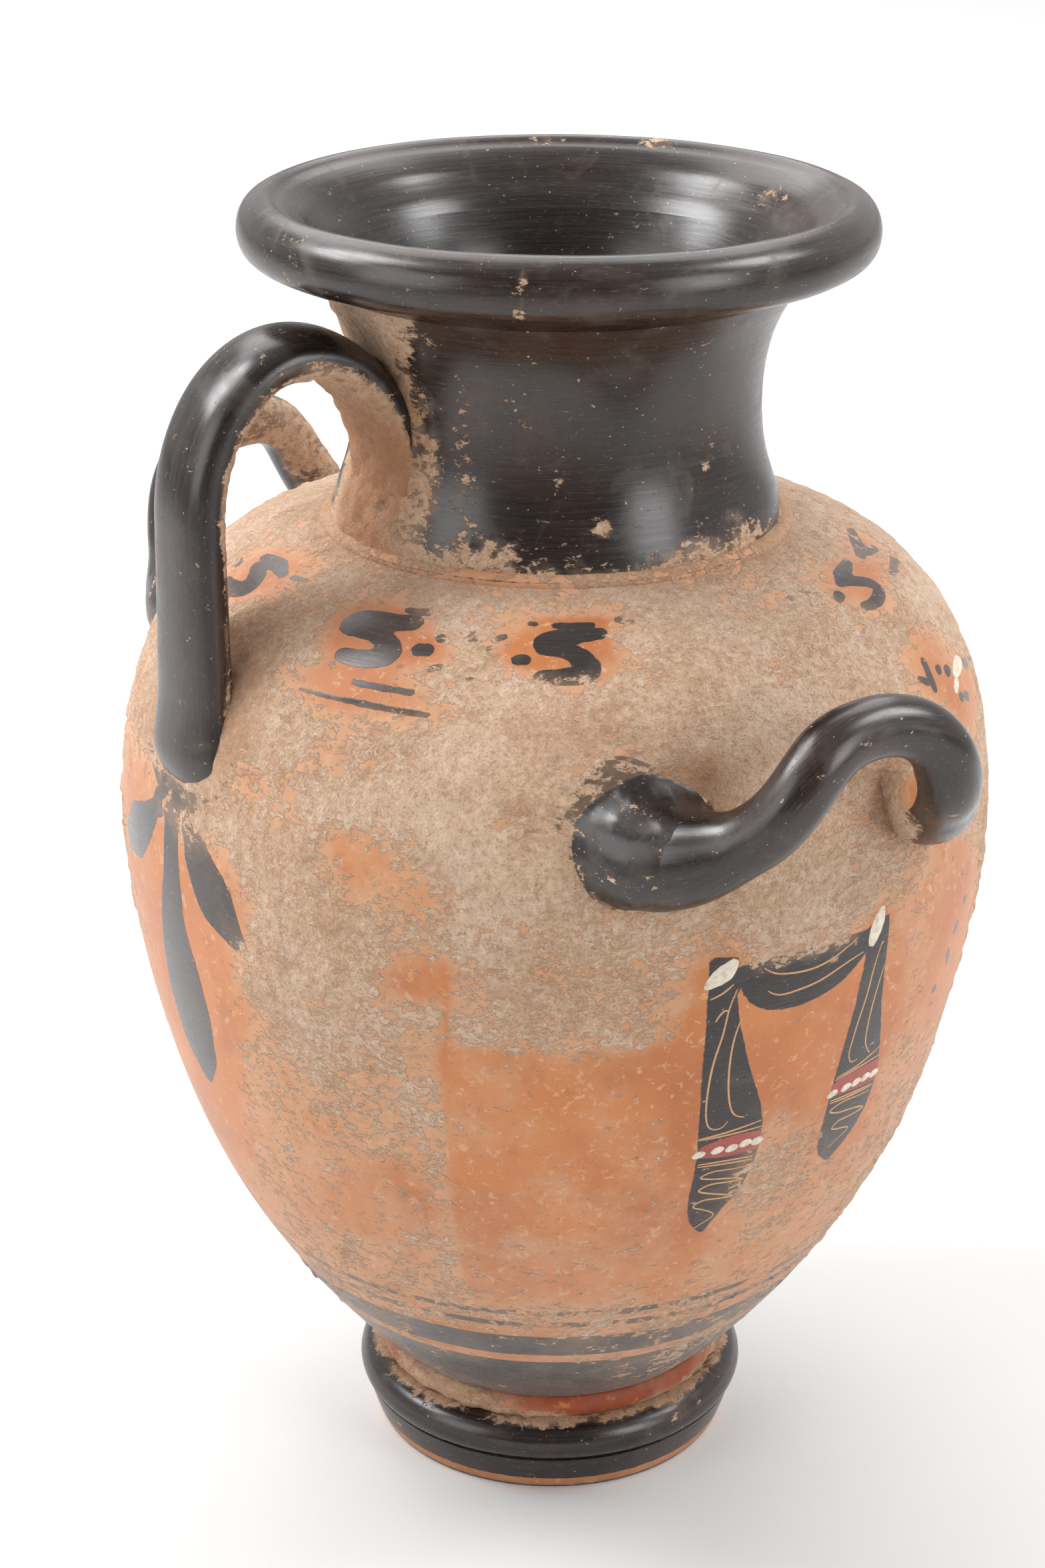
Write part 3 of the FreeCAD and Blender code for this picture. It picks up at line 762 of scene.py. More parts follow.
def build_lower_body():
    inner = BODY.inner_rows()
    inside = even_line(inner[inner[:, 1] <= BODY_JOINT_Z][::-1], 6.0)
    inside[0, 1] = BODY_JOINT_Z
    floor_top, floor_under = 31.4, 24.4
    slope = [tuple(inside[-1]), (38, 33.5), (24, 31.6), (8, floor_top)]
    floor = even_line(np.array(slope), 6.0)[1:]
    bottom = [(10, floor_under), (30, floor_under), (50.4, floor_under), (51, 25), (51, 31.6)]
    return body_piece("lower_body_wall", bottom, slice(0, len(BODY.low_rows)),
                      np.vstack([inside, floor]), False, "lower_body",
                      poles=(floor_under, floor_top))


def build_shoulder():
    inner = BODY.inner_rows()
    beside_hole = inner[:, 0] > 60.5
    inside = even_line(inner[(inner[:, 1] >= BODY_JOINT_Z) & beside_hole][::-1], 5.0)
    inside[-1, 1] = BODY_JOINT_Z
    hole = [(66.8, 303.2), (60.2, 303.2), (60, 302.8), (60, inside[0, 1] + 0.5)]
    return body_piece("shoulder_wall", np.zeros((0, 2)), slice(len(BODY.low_rows) - 1, None),
                      np.vstack([hole, inside]), True, "shoulder")


# ---------------------------------------------------------------- neck, mouth and foot
ROUND = np.arange(0, 360, 1.0)


def blank_fields(shape, paint=PAINTED):
    """Fields of a clean piece, painted all over or bare all over."""
    return {"paint": np.full(shape, paint), "crust": np.zeros(shape),
            "wear": np.zeros(shape), "damp": np.zeros(shape)}


def build_neck():
    outside = smooth_line(NECK_OUTLINE, 1.0)
    inside = smooth_line(NECK_INSIDE, 3.0)
    turned = Turned(np.vstack([outside, inside]), ROUND, True)
    theta, z = turn_between(turned.theta, 0), turned.z
    outer = (np.arange(len(turned.rows)) < len(outside))[:, None]
    fields = blank_fields(turned.theta.shape)
    level = 0.02 + 0.34 * smoothstep(313, 305, z)
    level = level + patches(theta, z, [
        (-57, 340, 15, 60, 0.72), (-42, 330, 11, 50, 0.4), (-46, 374, 20, 10, 0.4),
        (-25, 342, 4, 30, 0.34),
        (-12, 311, 8, 6, 0.26), (-27, 309, 5, 6, 0.24), (30, 310, 12, 7, 0.3),
        (12, 318, 2.4, 2.6, 0.4),
        (-72, 330, 12, 50, 0.5), (44, 336, 4, 8, 0.2), (50, 310, 14, 9, 0.36),
    ])
    level = level + 0.26 * fractal(turned.points, 22, 3, 4.0) \
        + 0.16 * fractal(turned.points, 6, 2, 6.0)
    level = np.where(outer, np.clip(level, 0, 1), 0.05)
    fields["crust"] = level
    brushed = z - 305.6 + 0.8 * fractal(turned.points, 12, 2, 9.0)
    fields["paint"] = np.where(outer, brushed, PAINTED)
    fields["wear"] = outer * patches(theta, z, [
        (8, 352, 14, 12, 0.05), (36, 350, 8, 10, 0.1), (-25, 345, 5, 26, 0.2),
        (20, 316, 24, 8, 0.1)])
    rough = smoothstep(0.4, 0.75, level + 0.3 * fractal(turned.points, 4, 3, 7.0))
    relief = rough * (0.5 + 0.5 * fractal(turned.points, 6, 3, 8.0))
    # painted shade: darker crust on the neck under the strap; the same patch carries thick crust
    # relief
    under_strap = np.exp(-(turn_between(theta, STRAP_THETA) / 17) ** 4) * smoothstep(372, 350, z)
    fields["damp"] = under_strap
    relief = relief + under_strap * (0.9 + 0.9 * fractal(turned.points, 7, 4, 12.0))
    relief = np.where(outer, relief * smoothstep(303.2, 305, z) * smoothstep(377, 371, z), 0)
    return turned.piece("neck_wall", relief, "black_slip", SLIP, "neck", **fields)


def build_neck_fillet():
    """The ring in the corner between neck and shoulder, with a thin line of slip on it."""
    ring = [(66.8, 303.2), (68.4, 303.0), (69.9, 303.0), (70.0, 303.9), (69.2, 305.2),
            (67.8, 306.1), (66.2, 306.4), (66.0, 305)]
    turned = Turned(even_line(np.array(ring + ring[:1]), 0.8)[:-1], ROUND, True)
    fields = blank_fields(turned.theta.shape, paint=BARE)
    theta = turn_between(turned.theta, 0)
    cleaner = patches(theta, turned.z, [(-16, 304, 20, 9, -0.3)])
    level = 0.64 + 0.36 * fractal(turned.points, 26, 3, 2.0) + cleaner
    fields["crust"] = np.clip(level, 0, 1)
    fields["paint"] = 0.15 - np.abs(turned.z - 304.6)
    # painted shade in the corner between neck and shoulder
    fields["damp"] += 0.5
    relief = 0.25 * fractal(turned.points, 5, 2, 3.0)
    return turned.piece("neck_fillet_ring", relief, "orange_clay", SLIP, "neck_fillet", **fields)


def build_mouth():
    roll = smooth_line(LIP_ROLL, 1.3)
    slope = smooth_line(LIP_INSIDE, 1.3)
    seat = np.array([(66.6, 379.3)])
    turned = Turned(np.vstack([roll, slope[1:], seat]), ROUND, True)
    theta, r, z = turn_between(turned.theta, 0), turned.r, turned.z
    fields = blank_fields(turned.theta.shape)
    fields["wear"] = patches(theta, r, [(-20, 78, 5, 3, 0.22), (150, 74, 4, 3, 0.2)]) \
        + 0.02 * fractal(turned.points, 30, 2, 3.0)
    level = patches(theta, r, [
        (-178, 83, 5, 4, 0.42), (158, 82, 6, 3, 0.44), (146, 86, 5, 3, 0.4), (120, 72, 6, 4, 0.42),
        (-6, 91, 1.4, 2, 0.4), (-52, 90, 6, 3, 0.36), (30, 90, 1.5, 2, 0.3)])
    fields["crust"] = np.clip(level + 0.1 * fractal(turned.points, 6, 2, 6.0), 0, 1)
    groove = 0.35 * np.exp(-((r - 81.2) / 0.8) ** 2) * (z > 392)
    step = 0.4 * smoothstep(73.2, 71.4, r) * (z > 384)
    relief = -groove - step + 0.15 * fractal(turned.points, 40, 2, 4.0)
    relief = relief * smoothstep(66.2, 69.5, r)
    return turned.piece("mouth_roll", relief, "black_slip", SLIP, "mouth", **fields)


def arc_line(start, through, end, spacing):
    """Points on the arc of a circle through three points."""
    (ax, ay), (bx, by), (cx, cy) = start, through, end
    twice = 2 * (ax * (by - cy) + bx * (cy - ay) + cx * (ay - by))
    sums = [x * x + y * y for x, y in (start, through, end)]
    ux = (sums[0] * (by - cy) + sums[1] * (cy - ay) + sums[2] * (ay - by)) / twice
    uy = (sums[0] * (cx - bx) + sums[1] * (ax - cx) + sums[2] * (bx - ax)) / twice
    radius = math.hypot(ax - ux, ay - uy)
    angles = np.unwrap([math.atan2(y - uy, x - ux) for x, y in (start, through, end)])
    count = max(2, round(abs(angles[2] - angles[0]) * radius / spacing) + 1)
    at = np.linspace(angles[0], angles[2], count)
    return np.stack([ux + radius * np.cos(at), uy + radius * np.sin(at)], -1)


def build_foot():
    lower = arc_line((56.6, 2.2), (58.4, 7.2), (59.9, 12.4), 1.0)
    torus = arc_line((60.3, 13.6), (62.0, 18.7), (54.9, 24.4), 0.9)
    resting, groove = [(44, 0), (49.5, 0), (55.2, 0), (55.6, 0.3)], [(59.0, 13.0)]
    hollow = [(51, 24.4), (40, 24.4), (40.4, 22), (42, 12), (43.6, 2)]
    rows = np.vstack([resting, lower, groove, torus, hollow])
    turned = Turned(rows, ROUND, True)
    theta, r, z = turn_between(turned.theta, 0), turned.r, turned.z
    fields = blank_fields(turned.theta.shape)
    brushed = np.abs(z - 2.5) - 1.7
    fields["paint"] = np.where((r > 54) & (z < 24.6), brushed, np.where(z > 20, PAINTED, BARE))
    fields["paint"] = np.where(z < 0.6, 0.6, fields["paint"])
    top = smoothstep(60.4, 56, r) * (z > 18)
    level = top * (0.62 + 0.3 * fractal(turned.points, 18, 3, 3.0)) + patches(theta, r, [
        (0, 60.5, 26, 3, 0.16), (44, 60, 8, 4, 0.3), (-40, 60, 10, 3, 0.1)]) * (z > 18)
    fields["crust"] = np.clip(level + 0.08 * fractal(turned.points, 6, 2, 2.0), 0, 1)
    # painted shade: darker crust all over the foot, low under the body
    fields["damp"] += 0.4
    rough = smoothstep(0.4, 0.7, fields["crust"] + 0.25 * fractal(turned.points, 4, 3, 7.0))
    relief = rough * (0.5 + 0.6 * fractal(turned.points, 5, 3, 8.0))
    relief = relief + 0.12 * fractal(turned.points, 30, 2, 5.0)
    relief = relief * (z > 1) * (r > 54)
    return turned.piece("foot_ring", relief, "black_slip", SLIP, "foot", **fields)


def build_foot_fillet():
    bead = arc_line((53.4, 24.6), (54.9, 28.1), (53.2, 31.8), 0.7)
    turned = Turned(np.vstack([bead, [(51, 31.8), (51, 24.6)]]), ROUND, True)
    theta = turn_between(turned.theta, 0)
    fields = blank_fields(turned.theta.shape, paint=BARE)
    bare_front = patches(theta, turned.z, [(16, 29, 20, 7, -0.5), (-36, 28, 28, 8, 0.45)])
    level = 0.5 * smoothstep(29, 24.5, turned.z) + 0.42 * fractal(turned.points, 24, 3, 3.0)
    fields["crust"] = np.clip(level + 0.3 + bare_front, 0, 1)
    # painted shade in the recess between foot and body
    fields["damp"] += 0.4
    rough = smoothstep(0.4, 0.7, fields["crust"])
    relief = rough * (0.5 + 0.9 * fractal(turned.points, 5, 3, 8.0)) * (turned.r > 52)
    return turned.piece("foot_fillet_ring", relief, "added_red", RED, "foot_fillet", **fields)


# ---------------------------------------------------------------- handles
def tube(name, centres, across, half_widths, half_depths, squareness, surface, node):
    """A pulled handle: rounded sections along a line, closed at both hidden ends."""
    columns, around, along = 72, 9, 0.04
    tangents = np.gradient(centres, axis=0)
    tangents /= np.linalg.norm(tangents, axis=1)[:, None]
    across = across - tangents * np.einsum("ij,ij->i", across, tangents)[:, None]
    across /= np.linalg.norm(across, axis=1)[:, None]
    up = np.cross(tangents, across)
    phi = np.linspace(0, 2 * math.pi, columns, endpoint=False)
    c, s = np.cos(phi), np.sin(phi)
    x = np.sign(c) * np.abs(c) ** (2 / squareness)
    y = np.sign(s) * np.abs(s) ** (2 / squareness)
    side = across[:, None] * x[None, :, None] * half_widths[:, None, None]
    rise = up[:, None] * y[None, :, None] * half_depths[:, None, None]
    points = centres[:, None] + side + rise
    outwards = side + rise
    outwards /= np.linalg.norm(outwards, axis=-1)[..., None]
    run = np.broadcast_to(lengths_along(centres)[:, None], points.shape[:2])
    x, y = np.broadcast_to(x, run.shape), np.broadcast_to(y, run.shape)
    fields, relief = surface(points, run, x, y, outwards)
    grain = np.stack(np.broadcast_arrays(c * around, s * around, run * along), -1)
    return fanned_piece(name, points + outwards * relief[..., None], centres[[0, -1]],
                        "black_slip", SLIP, node, grain, fields)


def strap_line():
    """The strap handle's centre line as (distance from the axis, height)."""
    neck_r, body_r, bend_z, top_z = 56.0, 121.0, 320.0, 364.7
    neck_end_z, body_end_z = 313.0, 243.0
    reach = (body_r - neck_r) / 2
    angles = np.linspace(math.pi, 0, 80)
    arch = np.stack([neck_r + reach + reach * np.cos(angles),
                     bend_z + (top_z - bend_z) * np.sin(angles)], -1)
    rise = np.linspace(neck_end_z, bend_z, 6)[:-1]
    fall = np.linspace(bend_z, body_end_z, 50)[1:]
    start = np.stack([np.full(len(rise), neck_r), rise], -1)
    leaning = 0.4 * (bend_z - fall) / (bend_z - body_end_z)
    end = np.stack([body_r + leaning, fall], -1)
    return np.vstack([start, arch, end])


def strap_surface(points, run, x, y, outwards):
    """The strap is glossy on its outer face, and coated with soil inside and by the neck."""
    fields = blank_fields(run.shape)
    end = run.max()
    inward = -y
    inner = smoothstep(-0.25, 0.55, inward)
    near_neck = smoothstep(72, 20, run)
    low = smoothstep(end - 26, end - 8, run)
    level = 0.04 + inner * (0.6 + 0.1 * near_neck) + 0.3 * near_neck * smoothstep(-0.6, 0.3, inward)
    level = level + 0.3 * low * smoothstep(0.3, 0.9, np.abs(x)) * smoothstep(-0.4, 0.2, inward)
    along = fractal(np.stack([x * 7, y * 7, run * 0.09], -1), 4, 3, 2.0)
    level = level + 0.46 * along * smoothstep(-0.7, 0.1, inward) + 0.1 * fractal(points, 9, 3, 5.0)
    fields["crust"] = np.clip(level, 0, 1)
    rough = smoothstep(0.45, 0.8, fields["crust"] + 0.2 * fractal(points, 4, 3, 7.0))
    # painted shade on the strap's inner face near the neck, partly browner soil
    fields["damp"] = inner * near_neck
    relief = rough * (0.5 + 1.3 * fractal(points, 6, 4, 8.0)) + 0.3 * fractal(points, 34, 2, 4.0)
    ridges = 0.25 * np.sin(x * 9 + 0.6 * np.sin(run * 0.05)) * inner
    return fields, relief + ridges


def build_strap():
    line = strap_line()
    out = np.array(direction(STRAP_THETA))
    centres = np.stack([line[:, 0] * out[0], line[:, 0] * out[1], line[:, 1]], -1)
    run = lengths_along(centres)
    share = run / run[-1]
    at_neck, at_arch, at_shoulder = 34, 28.5, 38
    widths = at_neck * (1 - share) * (1 - 2 * share) + 4 * at_arch * share * (1 - share) \
        + at_shoulder * share * (2 * share - 1)
    flare = smoothstep(0.86, 1.0, share)
    rounded = np.sqrt(1 - np.clip((share - 0.94) / 0.06, 0, 0.96) ** 2)
    across = np.tile(np.array((-out[1], out[0], 0.0)), (len(centres), 1))
    return tube("strap", centres, across, (widths / 2 + 1.5 * flare) * rounded,
                (7.0 + 2.4 * flare) * (0.3 + 0.7 * rounded), 2.4, strap_surface, "strap_handle")


SIDE_HANDLES = {  # azimuth in the frame, root height, top height, reach from the axis
    "near": (-90.0, 244.8, 285.2, 153.4),
    "far": (100.6, 252.0, 301.0, 150.5),
}
SIDE_ROOT_R = 126.5
SIDE_ROOT_HALF_ANGLE = 22.0


def side_line(azimuth, root_z, top_z, reach):
    """Centre line of a side handle from its left root to its right one, and its directions."""
    angle = math.radians(azimuth)
    out = np.array((math.cos(angle), math.sin(angle), 0))
    wall = np.array((-math.sin(angle), math.cos(angle), 0))
    half = math.radians(SIDE_ROOT_HALF_ANGLE)
    apart, away = SIDE_ROOT_R * math.sin(half), SIDE_ROOT_R * math.cos(half)
    a, b, c, d = (wall * side + out * distance + UP * height for side, distance, height in (
        (apart, away, root_z), (apart - 25, away + 48, root_z + 0.3 * (top_z - root_z)),
        (30.5, reach, top_z), (0, reach, top_z)))
    t = np.linspace(0, 1, 70)[:, None]
    half_line = a * (1 - t) ** 3 + b * 3 * (1 - t) ** 2 * t + c * 3 * (1 - t) * t ** 2 + d * t ** 3
    leaving = half_line[1] - half_line[0]
    sunk = np.array((7, 4.5, 2))[:, None]
    start = half_line[0] - leaving / np.linalg.norm(leaving) * sunk
    half_line = np.vstack([start, half_line])
    mirrored = half_line - 2 * (half_line @ wall)[:, None] * wall
    line = np.vstack([mirrored, half_line[::-1][1:]])
    return line, out, wall, np.cross(wall, d - a)


def side_radius(share):
    """Radius of a side handle: thicker towards its roots, rounded off inside the mounds."""
    return (16.8 + 4.5 * share ** 2) / 2 + 3.6 * smoothstep(0.7, 0.92, share) \
        - 2.2 * smoothstep(0.93, 1.0, share)


def side_surface(centre_out, wall, coated):
    """A side handle: glossy, a few chips, unpainted inside where the brush didn't reach."""
    def surface(points, run, x, y, outwards):
        fields = blank_fields(run.shape)
        share = run / run.max()
        from_middle = np.abs(2 * run / run.max() - 1)
        inward = -(outwards @ centre_out)
        near_right = smoothstep(0.62, 0.8, share)
        unpainted = smoothstep(0.1, 0.5, inward) * smoothstep(0.0, 0.6, near_right)
        fields["paint"] = PAINTED - 14 * unpainted
        level = 0.04 + 0.5 * smoothstep(0.3, 0.8, inward) * smoothstep(0.5, 0.95, from_middle)
        level = level + 0.26 * smoothstep(0.86, 1.0, from_middle)
        level = level + coated * smoothstep(0.0, 0.5, inward)
        tucked = 0.6 * inward - 0.8 * (outwards @ wall)
        level = level + 0.7 * smoothstep(0.74, 0.86, share) * smoothstep(0.1, 0.6, tucked)
        level = level + 0.22 * fractal(points, 16, 3, 3.0)
        fields["crust"] = np.clip(level, 0, 1)
        fields["wear"] = 0.04 + 0.1 * fractal(points, 14, 2, 6.0)
        rough = smoothstep(0.45, 0.75, fields["crust"] + 0.2 * fractal(points, 4, 3, 7.0))
        relief = rough * (0.3 + 0.5 * fractal(points, 5, 3, 8.0))
        return fields, relief + 0.35 * fractal(points, 26, 2, 4.0)
    return surface


def build_side_handle(which):
    line, out, wall, facing = side_line(*SIDE_HANDLES[which])
    radius = side_radius(np.abs(np.linspace(-1, 1, len(line))))
    facing = np.tile(facing, (len(line), 1))
    coated = 0.6 if which == "far" else 0.0
    return tube(f"side_handle_{which}_roll", line, facing, radius, radius, 2.0,
                side_surface(out, wall, coated), f"side_handle_{which}")


def blended_height(theta, s, mound, centres, radii):
    """Height over the wall at which the mound, filleted to the handle, comes to an end."""
    tallest, step, softness = 24.5, 0.25, 11.0
    sinking, evening = 0.035, 0.8
    ground, _ = BODY.on(theta, s, np.zeros(theta.shape))
    above, _ = BODY.on(theta, s, np.ones(theta.shape))
    done = np.zeros(theta.shape, bool)
    height = np.full(theta.shape, tallest)
    before = np.full(theta.shape, -1.0)
    for level in np.arange(0, tallest, step):
        at = ground + (above - ground) * level
        to_tube = np.full(theta.shape, np.inf)
        for centre, radius in zip(centres, radii):
            to_tube = np.minimum(to_tube, np.linalg.norm(at - centre, axis=-1) - radius)
        to_tube += sinking * level
        to_mound = evening * (level - mound)
        overlap = np.maximum(softness - np.abs(to_tube - to_mound), 0)
        joined_clay = np.minimum(to_tube, to_mound) - overlap ** 2 / (4 * softness)
        crossing = ~done & (joined_clay > 0)
        part = before / np.minimum(before - joined_clay, -1e-6)
        height = np.where(crossing, level - step + step * np.clip(part, 0, 1), height)
        done |= crossing
        before = joined_clay
    return np.maximum(height, 0)


def build_pad(which, side):
    """Clay pressed round a side handle's root and smoothed out on the wall."""
    azimuth, root_z, _, _ = SIDE_HANDLES[which]
    sign = 1 if side == "right" else -1
    top_across, top_rise, rim_rise = -sign * 8.0, 1.5, 6.0
    mound_height, rim_dip, depth = 10.5, 0.7, 2.6
    theta0 = azimuth - FRONT + sign * SIDE_ROOT_HALF_ANGLE
    s0 = float(np.interp(root_z, BODY.rows[:, 1], BODY.s[:, 0]))
    radius = BODY.radius_at(s0)
    rho = np.linspace(0.04, 1, 30)[:, None]
    phi = np.linspace(0, 2 * math.pi, 96, endpoint=False)
    reach = 20.5 + 0.9 * np.sin(2 * phi + 1) + 0.5 * np.sin(5 * phi)
    across = rho * reach * np.cos(phi) + top_across * (1 - rho)
    rise = rho * (reach * np.sin(phi) + rim_rise) + (1 - rho) * top_rise
    theta = theta0 + np.degrees(across / radius)
    s = s0 + rise
    domed = np.clip(0.4 + 0.6 * sign * np.cos(phi), 0, 1)
    hollowed = (1 - smoothstep(0.05, 1.0, rho)) ** 1.2
    mound = mound_height * (domed * (1 - rho ** 2) ** 1.1 + (1 - domed) * hollowed)
    line = side_line(*SIDE_HANDLES[which])[0]
    radii = side_radius(np.abs(np.linspace(-1, 1, len(line)))) - 0.25
    end = slice(0, 26) if sign < 0 else slice(len(line) - 26, len(line))
    height = blended_height(theta, s, mound, line[end], radii[end])
    height = height * (1 - rho ** 8) - rim_dip * smoothstep(0.8, 1, rho)
    smooth, _ = BODY.on(theta, s, height)
    lumps = 0.5 * fractal(smooth, 15, 2, 2.0 + sign) * (1 - rho ** 4) * smoothstep(22, 10, height)
    top, _ = BODY.on(theta, s, height + lumps)
    bottom, _ = BODY.on(theta[::-1], s[::-1], np.full(theta.shape, -depth))
    points = np.vstack([top, bottom])
    apex = np.array([(theta0 + math.degrees(top_across / radius), s0 + top_rise)] * 2).T
    ends, _ = BODY.on(*apex, np.array([height[0, 0], -depth]))
    fields = blank_fields(points.shape[:2])
    edge = np.vstack([rho + 0 * theta, rho[::-1] + 0 * theta])
    bare = smoothstep(0.5, -0.1, sign * np.cos(phi)) * (sign > 0 and which == "near")
    level = (0.08 if which == "near" else 0.32) + 0.42 * bare + 0.46 * smoothstep(0.8, 1.0, edge)
    fields["crust"] = np.clip(level + 0.25 * fractal(points, 12, 3, 5.0), 0, 1)
    fields["paint"] = 4.0 - 8.0 * bare + 3 * fractal(points, 16, 2, 3.0)
    fields["wear"] = 0.1 + 0.1 * fractal(points, 14, 2, 6.0)
    node = f"side_handle_{which}_pad_{side}"
    return fanned_piece(node + "_clay", points, ends, "black_slip", SLIP, node, 0.12 * points,
                        fields)


# ---------------------------------------------------------------- incised lines and added white
INCISIONS = [
    [(22.7, 194), (21.8, 188), (21.3, 181), (20.5, 173), (20.05, 165), (20, 157), (20.3, 151),
     (21, 147.8), (22, 147), (23, 147.9), (23.4, 149.4)],
    [(23.6, 184.5), (23, 180), (22.6, 173), (22.6, 167), (22.9, 160), (23.4, 155), (24.4, 151),
     (25.8, 149.6)],
    [(20.1, 184.6), (20.6, 186.5), (21.2, 187.7), (21.9, 187.6)],
    [(19.2, 192), (20.6, 193.2), (22.2, 195.8)], [(19.6, 144.3), (24, 145.3), (28.6, 146.9)],
    [(19.6, 143.9), (24, 144.1), (28.8, 144.6)], [(20, 134.5), (24, 134.2), (28.4, 133.7)],
    [(20, 133.6), (24, 133.1), (28.4, 132.5)],
    [(28, 130.1), (24, 130.6), (21.3, 130), (20.8, 129.2), (21.6, 128.3), (25, 126.9),
     (27.5, 125.4), (24, 125.6), (21.5, 125), (20.9, 124), (21.8, 122.7), (24.6, 120.7),
     (26.4, 119.2), (23.5, 119.4), (21, 118.8), (20.5, 117.7), (21.3, 116.4), (23.2, 114.4),
     (24.1, 112.6), (22.8, 110), (21.4, 108)],
    [(26.2, 199), (27.5, 197), (30, 195.6), (33.5, 195.3), (36, 196.4), (38.3, 198.4),
     (40.3, 200.6)],
    [(26.9, 191.6), (28, 190), (31, 189.6), (34.5, 190.7), (38, 193.2), (41.5, 195.2)],
    [(44.9, 196), (44, 190), (43.2, 180), (42.3, 171), (41.9, 165), (42, 159.6), (42.8, 157.5),
     (43.8, 157.8)],
    [(45.9, 188), (45.1, 181), (44.6, 174), (44.5, 168), (44.9, 162), (46.2, 158)],
    [(40.3, 153.6), (44, 155), (48.4, 158.4)], [(40.3, 152.8), (44, 154), (48.8, 155)],
    [(40.2, 145.4), (44.5, 145), (48.9, 144.6)], [(40.2, 144.5), (44.5, 144.1), (48.9, 144)],
    [(48.7, 142.3), (45, 142.8), (42, 142.6), (40.8, 141.2), (41.8, 139.9), (45, 138.6),
     (48.2, 136.6), (44.5, 135.8), (42.6, 135.1), (42.2, 134), (43.4, 132.6), (46, 130.6),
     (43.9, 127.7), (42.7, 125.8)],
]
WHITE_DOTS = [(19.9, 138.1), (22.6, 138.7), (24.7, 138.5), (26.7, 139.3), (28.5, 139.2),
              (40.3, 147.8), (42.8, 148.2), (44.8, 148.4), (46.7, 148.6), (48.5, 148.4)]
WHITE_BLOBS = [  # path, half widths
    ([(18.9, 196.4), (20, 198.2), (21.4, 200.4), (22, 202)], [1.4, 2.5, 2.8, 1.8]),
    ([(43, 197.4), (43.4, 200), (44, 203.2), (44.5, 206.4)], [1.8, 2.5, 2.4, 1.2]),
    ([(70.4, 253.4), (72, 254.6)], [1.4, 1.6]),
    ([(72.4, 256.8), (74.8, 257.4), (76.8, 257.4)], [1.6, 2.4, 2.4]),
]


def laid_flat(path, spacing):
    """A path on the body as an even line in the plane, with its sides' direction and radius."""
    path = np.array(path, float)
    radius = BODY.radius_at(path[:, 1].mean())
    flat = smooth_line(on_plane(path[:, 0], path[:, 1], radius), spacing)
    tangent = np.gradient(flat, axis=0)
    tangent /= np.linalg.norm(tangent, axis=1)[:, None]
    return flat, tangent, radius


def sideways(tangent):
    return np.stack([-tangent[:, 1], tangent[:, 0]], -1)


def laid_on_body(radius, lines):
    """Lines of the plane, each with its height, put on the body as one grid of points."""
    placed = [BODY.on(np.degrees(line[:, 0] / radius), line[:, 1], np.full(len(line), height))
              for line, height in lines]
    points, crust = zip(*placed)
    return np.stack(points, 1), np.stack(crust, 1)


def ribbon(path, half_width, lift):
    """A closed flat strip that lies on the body along a path."""
    flat, tangent, radius = laid_flat(path, 0.55)
    side = sideways(tangent)
    taper = np.sin(np.linspace(0.12, math.pi - 0.12, len(flat))) ** 0.3
    under = lift - 0.3
    profile = ((-1, under), (-1, lift * 0.5), (-0.4, lift), (0.4, lift), (1, lift * 0.5),
               (1, under))
    lines = [(flat + side * (across * half_width * taper)[:, None], rise)
             for across, rise in profile]
    points, crust = laid_on_body(radius, lines)
    middle = points.mean(1)
    return np.vstack([points.reshape(-1, 3), middle[:1], middle[-1:]]), \
        np.r_[crust.ravel(), crust[0, 0], crust[-1, 0]], grid_faces(*crust.shape, fans=True)


def dab(path, half_widths, lift):
    """A low closed mound of thick paint."""
    flat, tangent, radius = laid_flat(path, 0.6)
    half = np.interp(np.linspace(0, 1, len(flat)), np.linspace(0, 1, len(half_widths)), half_widths)
    start = flat[0] - tangent[0] * half[0] * 0.8
    end = flat[-1] + tangent[-1] * half[-1] * 0.8
    flat = np.vstack([start, flat, end])
    half = np.r_[half[0] * 0.55, half, half[-1] * 0.55]
    tangent = np.vstack([tangent[:1], tangent, tangent[-1:]])
    side = sideways(tangent)
    lines = []
    for turn in np.linspace(0, 2 * math.pi, 12, endpoint=False):
        rise = lift * np.sin(turn) if np.sin(turn) > 0 else 0.3 * np.sin(turn)
        lines.append((flat + side * (np.cos(turn) * half)[:, None], rise))
    points, crust = laid_on_body(radius, lines)
    beyond = tangent[[0, -1]] * np.array(((-1,), (1,))) * half[[0, -1]][:, None] * 0.7
    tips, tip_crust = BODY.on(np.degrees((flat[[0, -1]] + beyond)[:, 0] / radius),
                              flat[[0, -1], 1], np.zeros(2))
    return np.vstack([points.reshape(-1, 3), tips]), np.r_[crust.ravel(), tip_crust], \
        grid_faces(*crust.shape, fans=True)


def joined(name, parts, slot, material):
    """Several small closed shapes as one piece, each with its faces outwards."""
    vertices, crust, faces = [], [], []
    count = 0
    for points, level, quads in parts:
        corners = points - points[0]
        volume = sum(np.dot(corners[q[0]], np.cross(corners[q[1]], corners[q[2]])) for q in quads)
        quads = quads if volume > 0 else [q[::-1] for q in quads]
        faces += [[index + count for index in quad] for quad in quads]
        vertices.append(points)
        crust.append(level)
        count += len(points)
    vertices = np.vstack(vertices)
    return mesh_piece(name, vertices, faces, slot, material, crust=np.concatenate(crust) * 0.8,
                      grain=vertices * 0.2)


def build_details():
    folds = [ribbon(path, 0.3, 0.09) for path in INCISIONS]
    joined("incised_folds", folds, "orange_clay", INCISED)
    dots = [dab([(theta - 0.35, s), (theta + 0.35, s + 0.4)], [1.25, 1.25], 0.45)
            for theta, s in WHITE_DOTS]
    joined("white_dots", dots, "added_white", WHITE)
    knots = [dab(path, widths, 0.3) for path, widths in WHITE_BLOBS]
    joined("white_knots", knots, "added_white", WHITE)


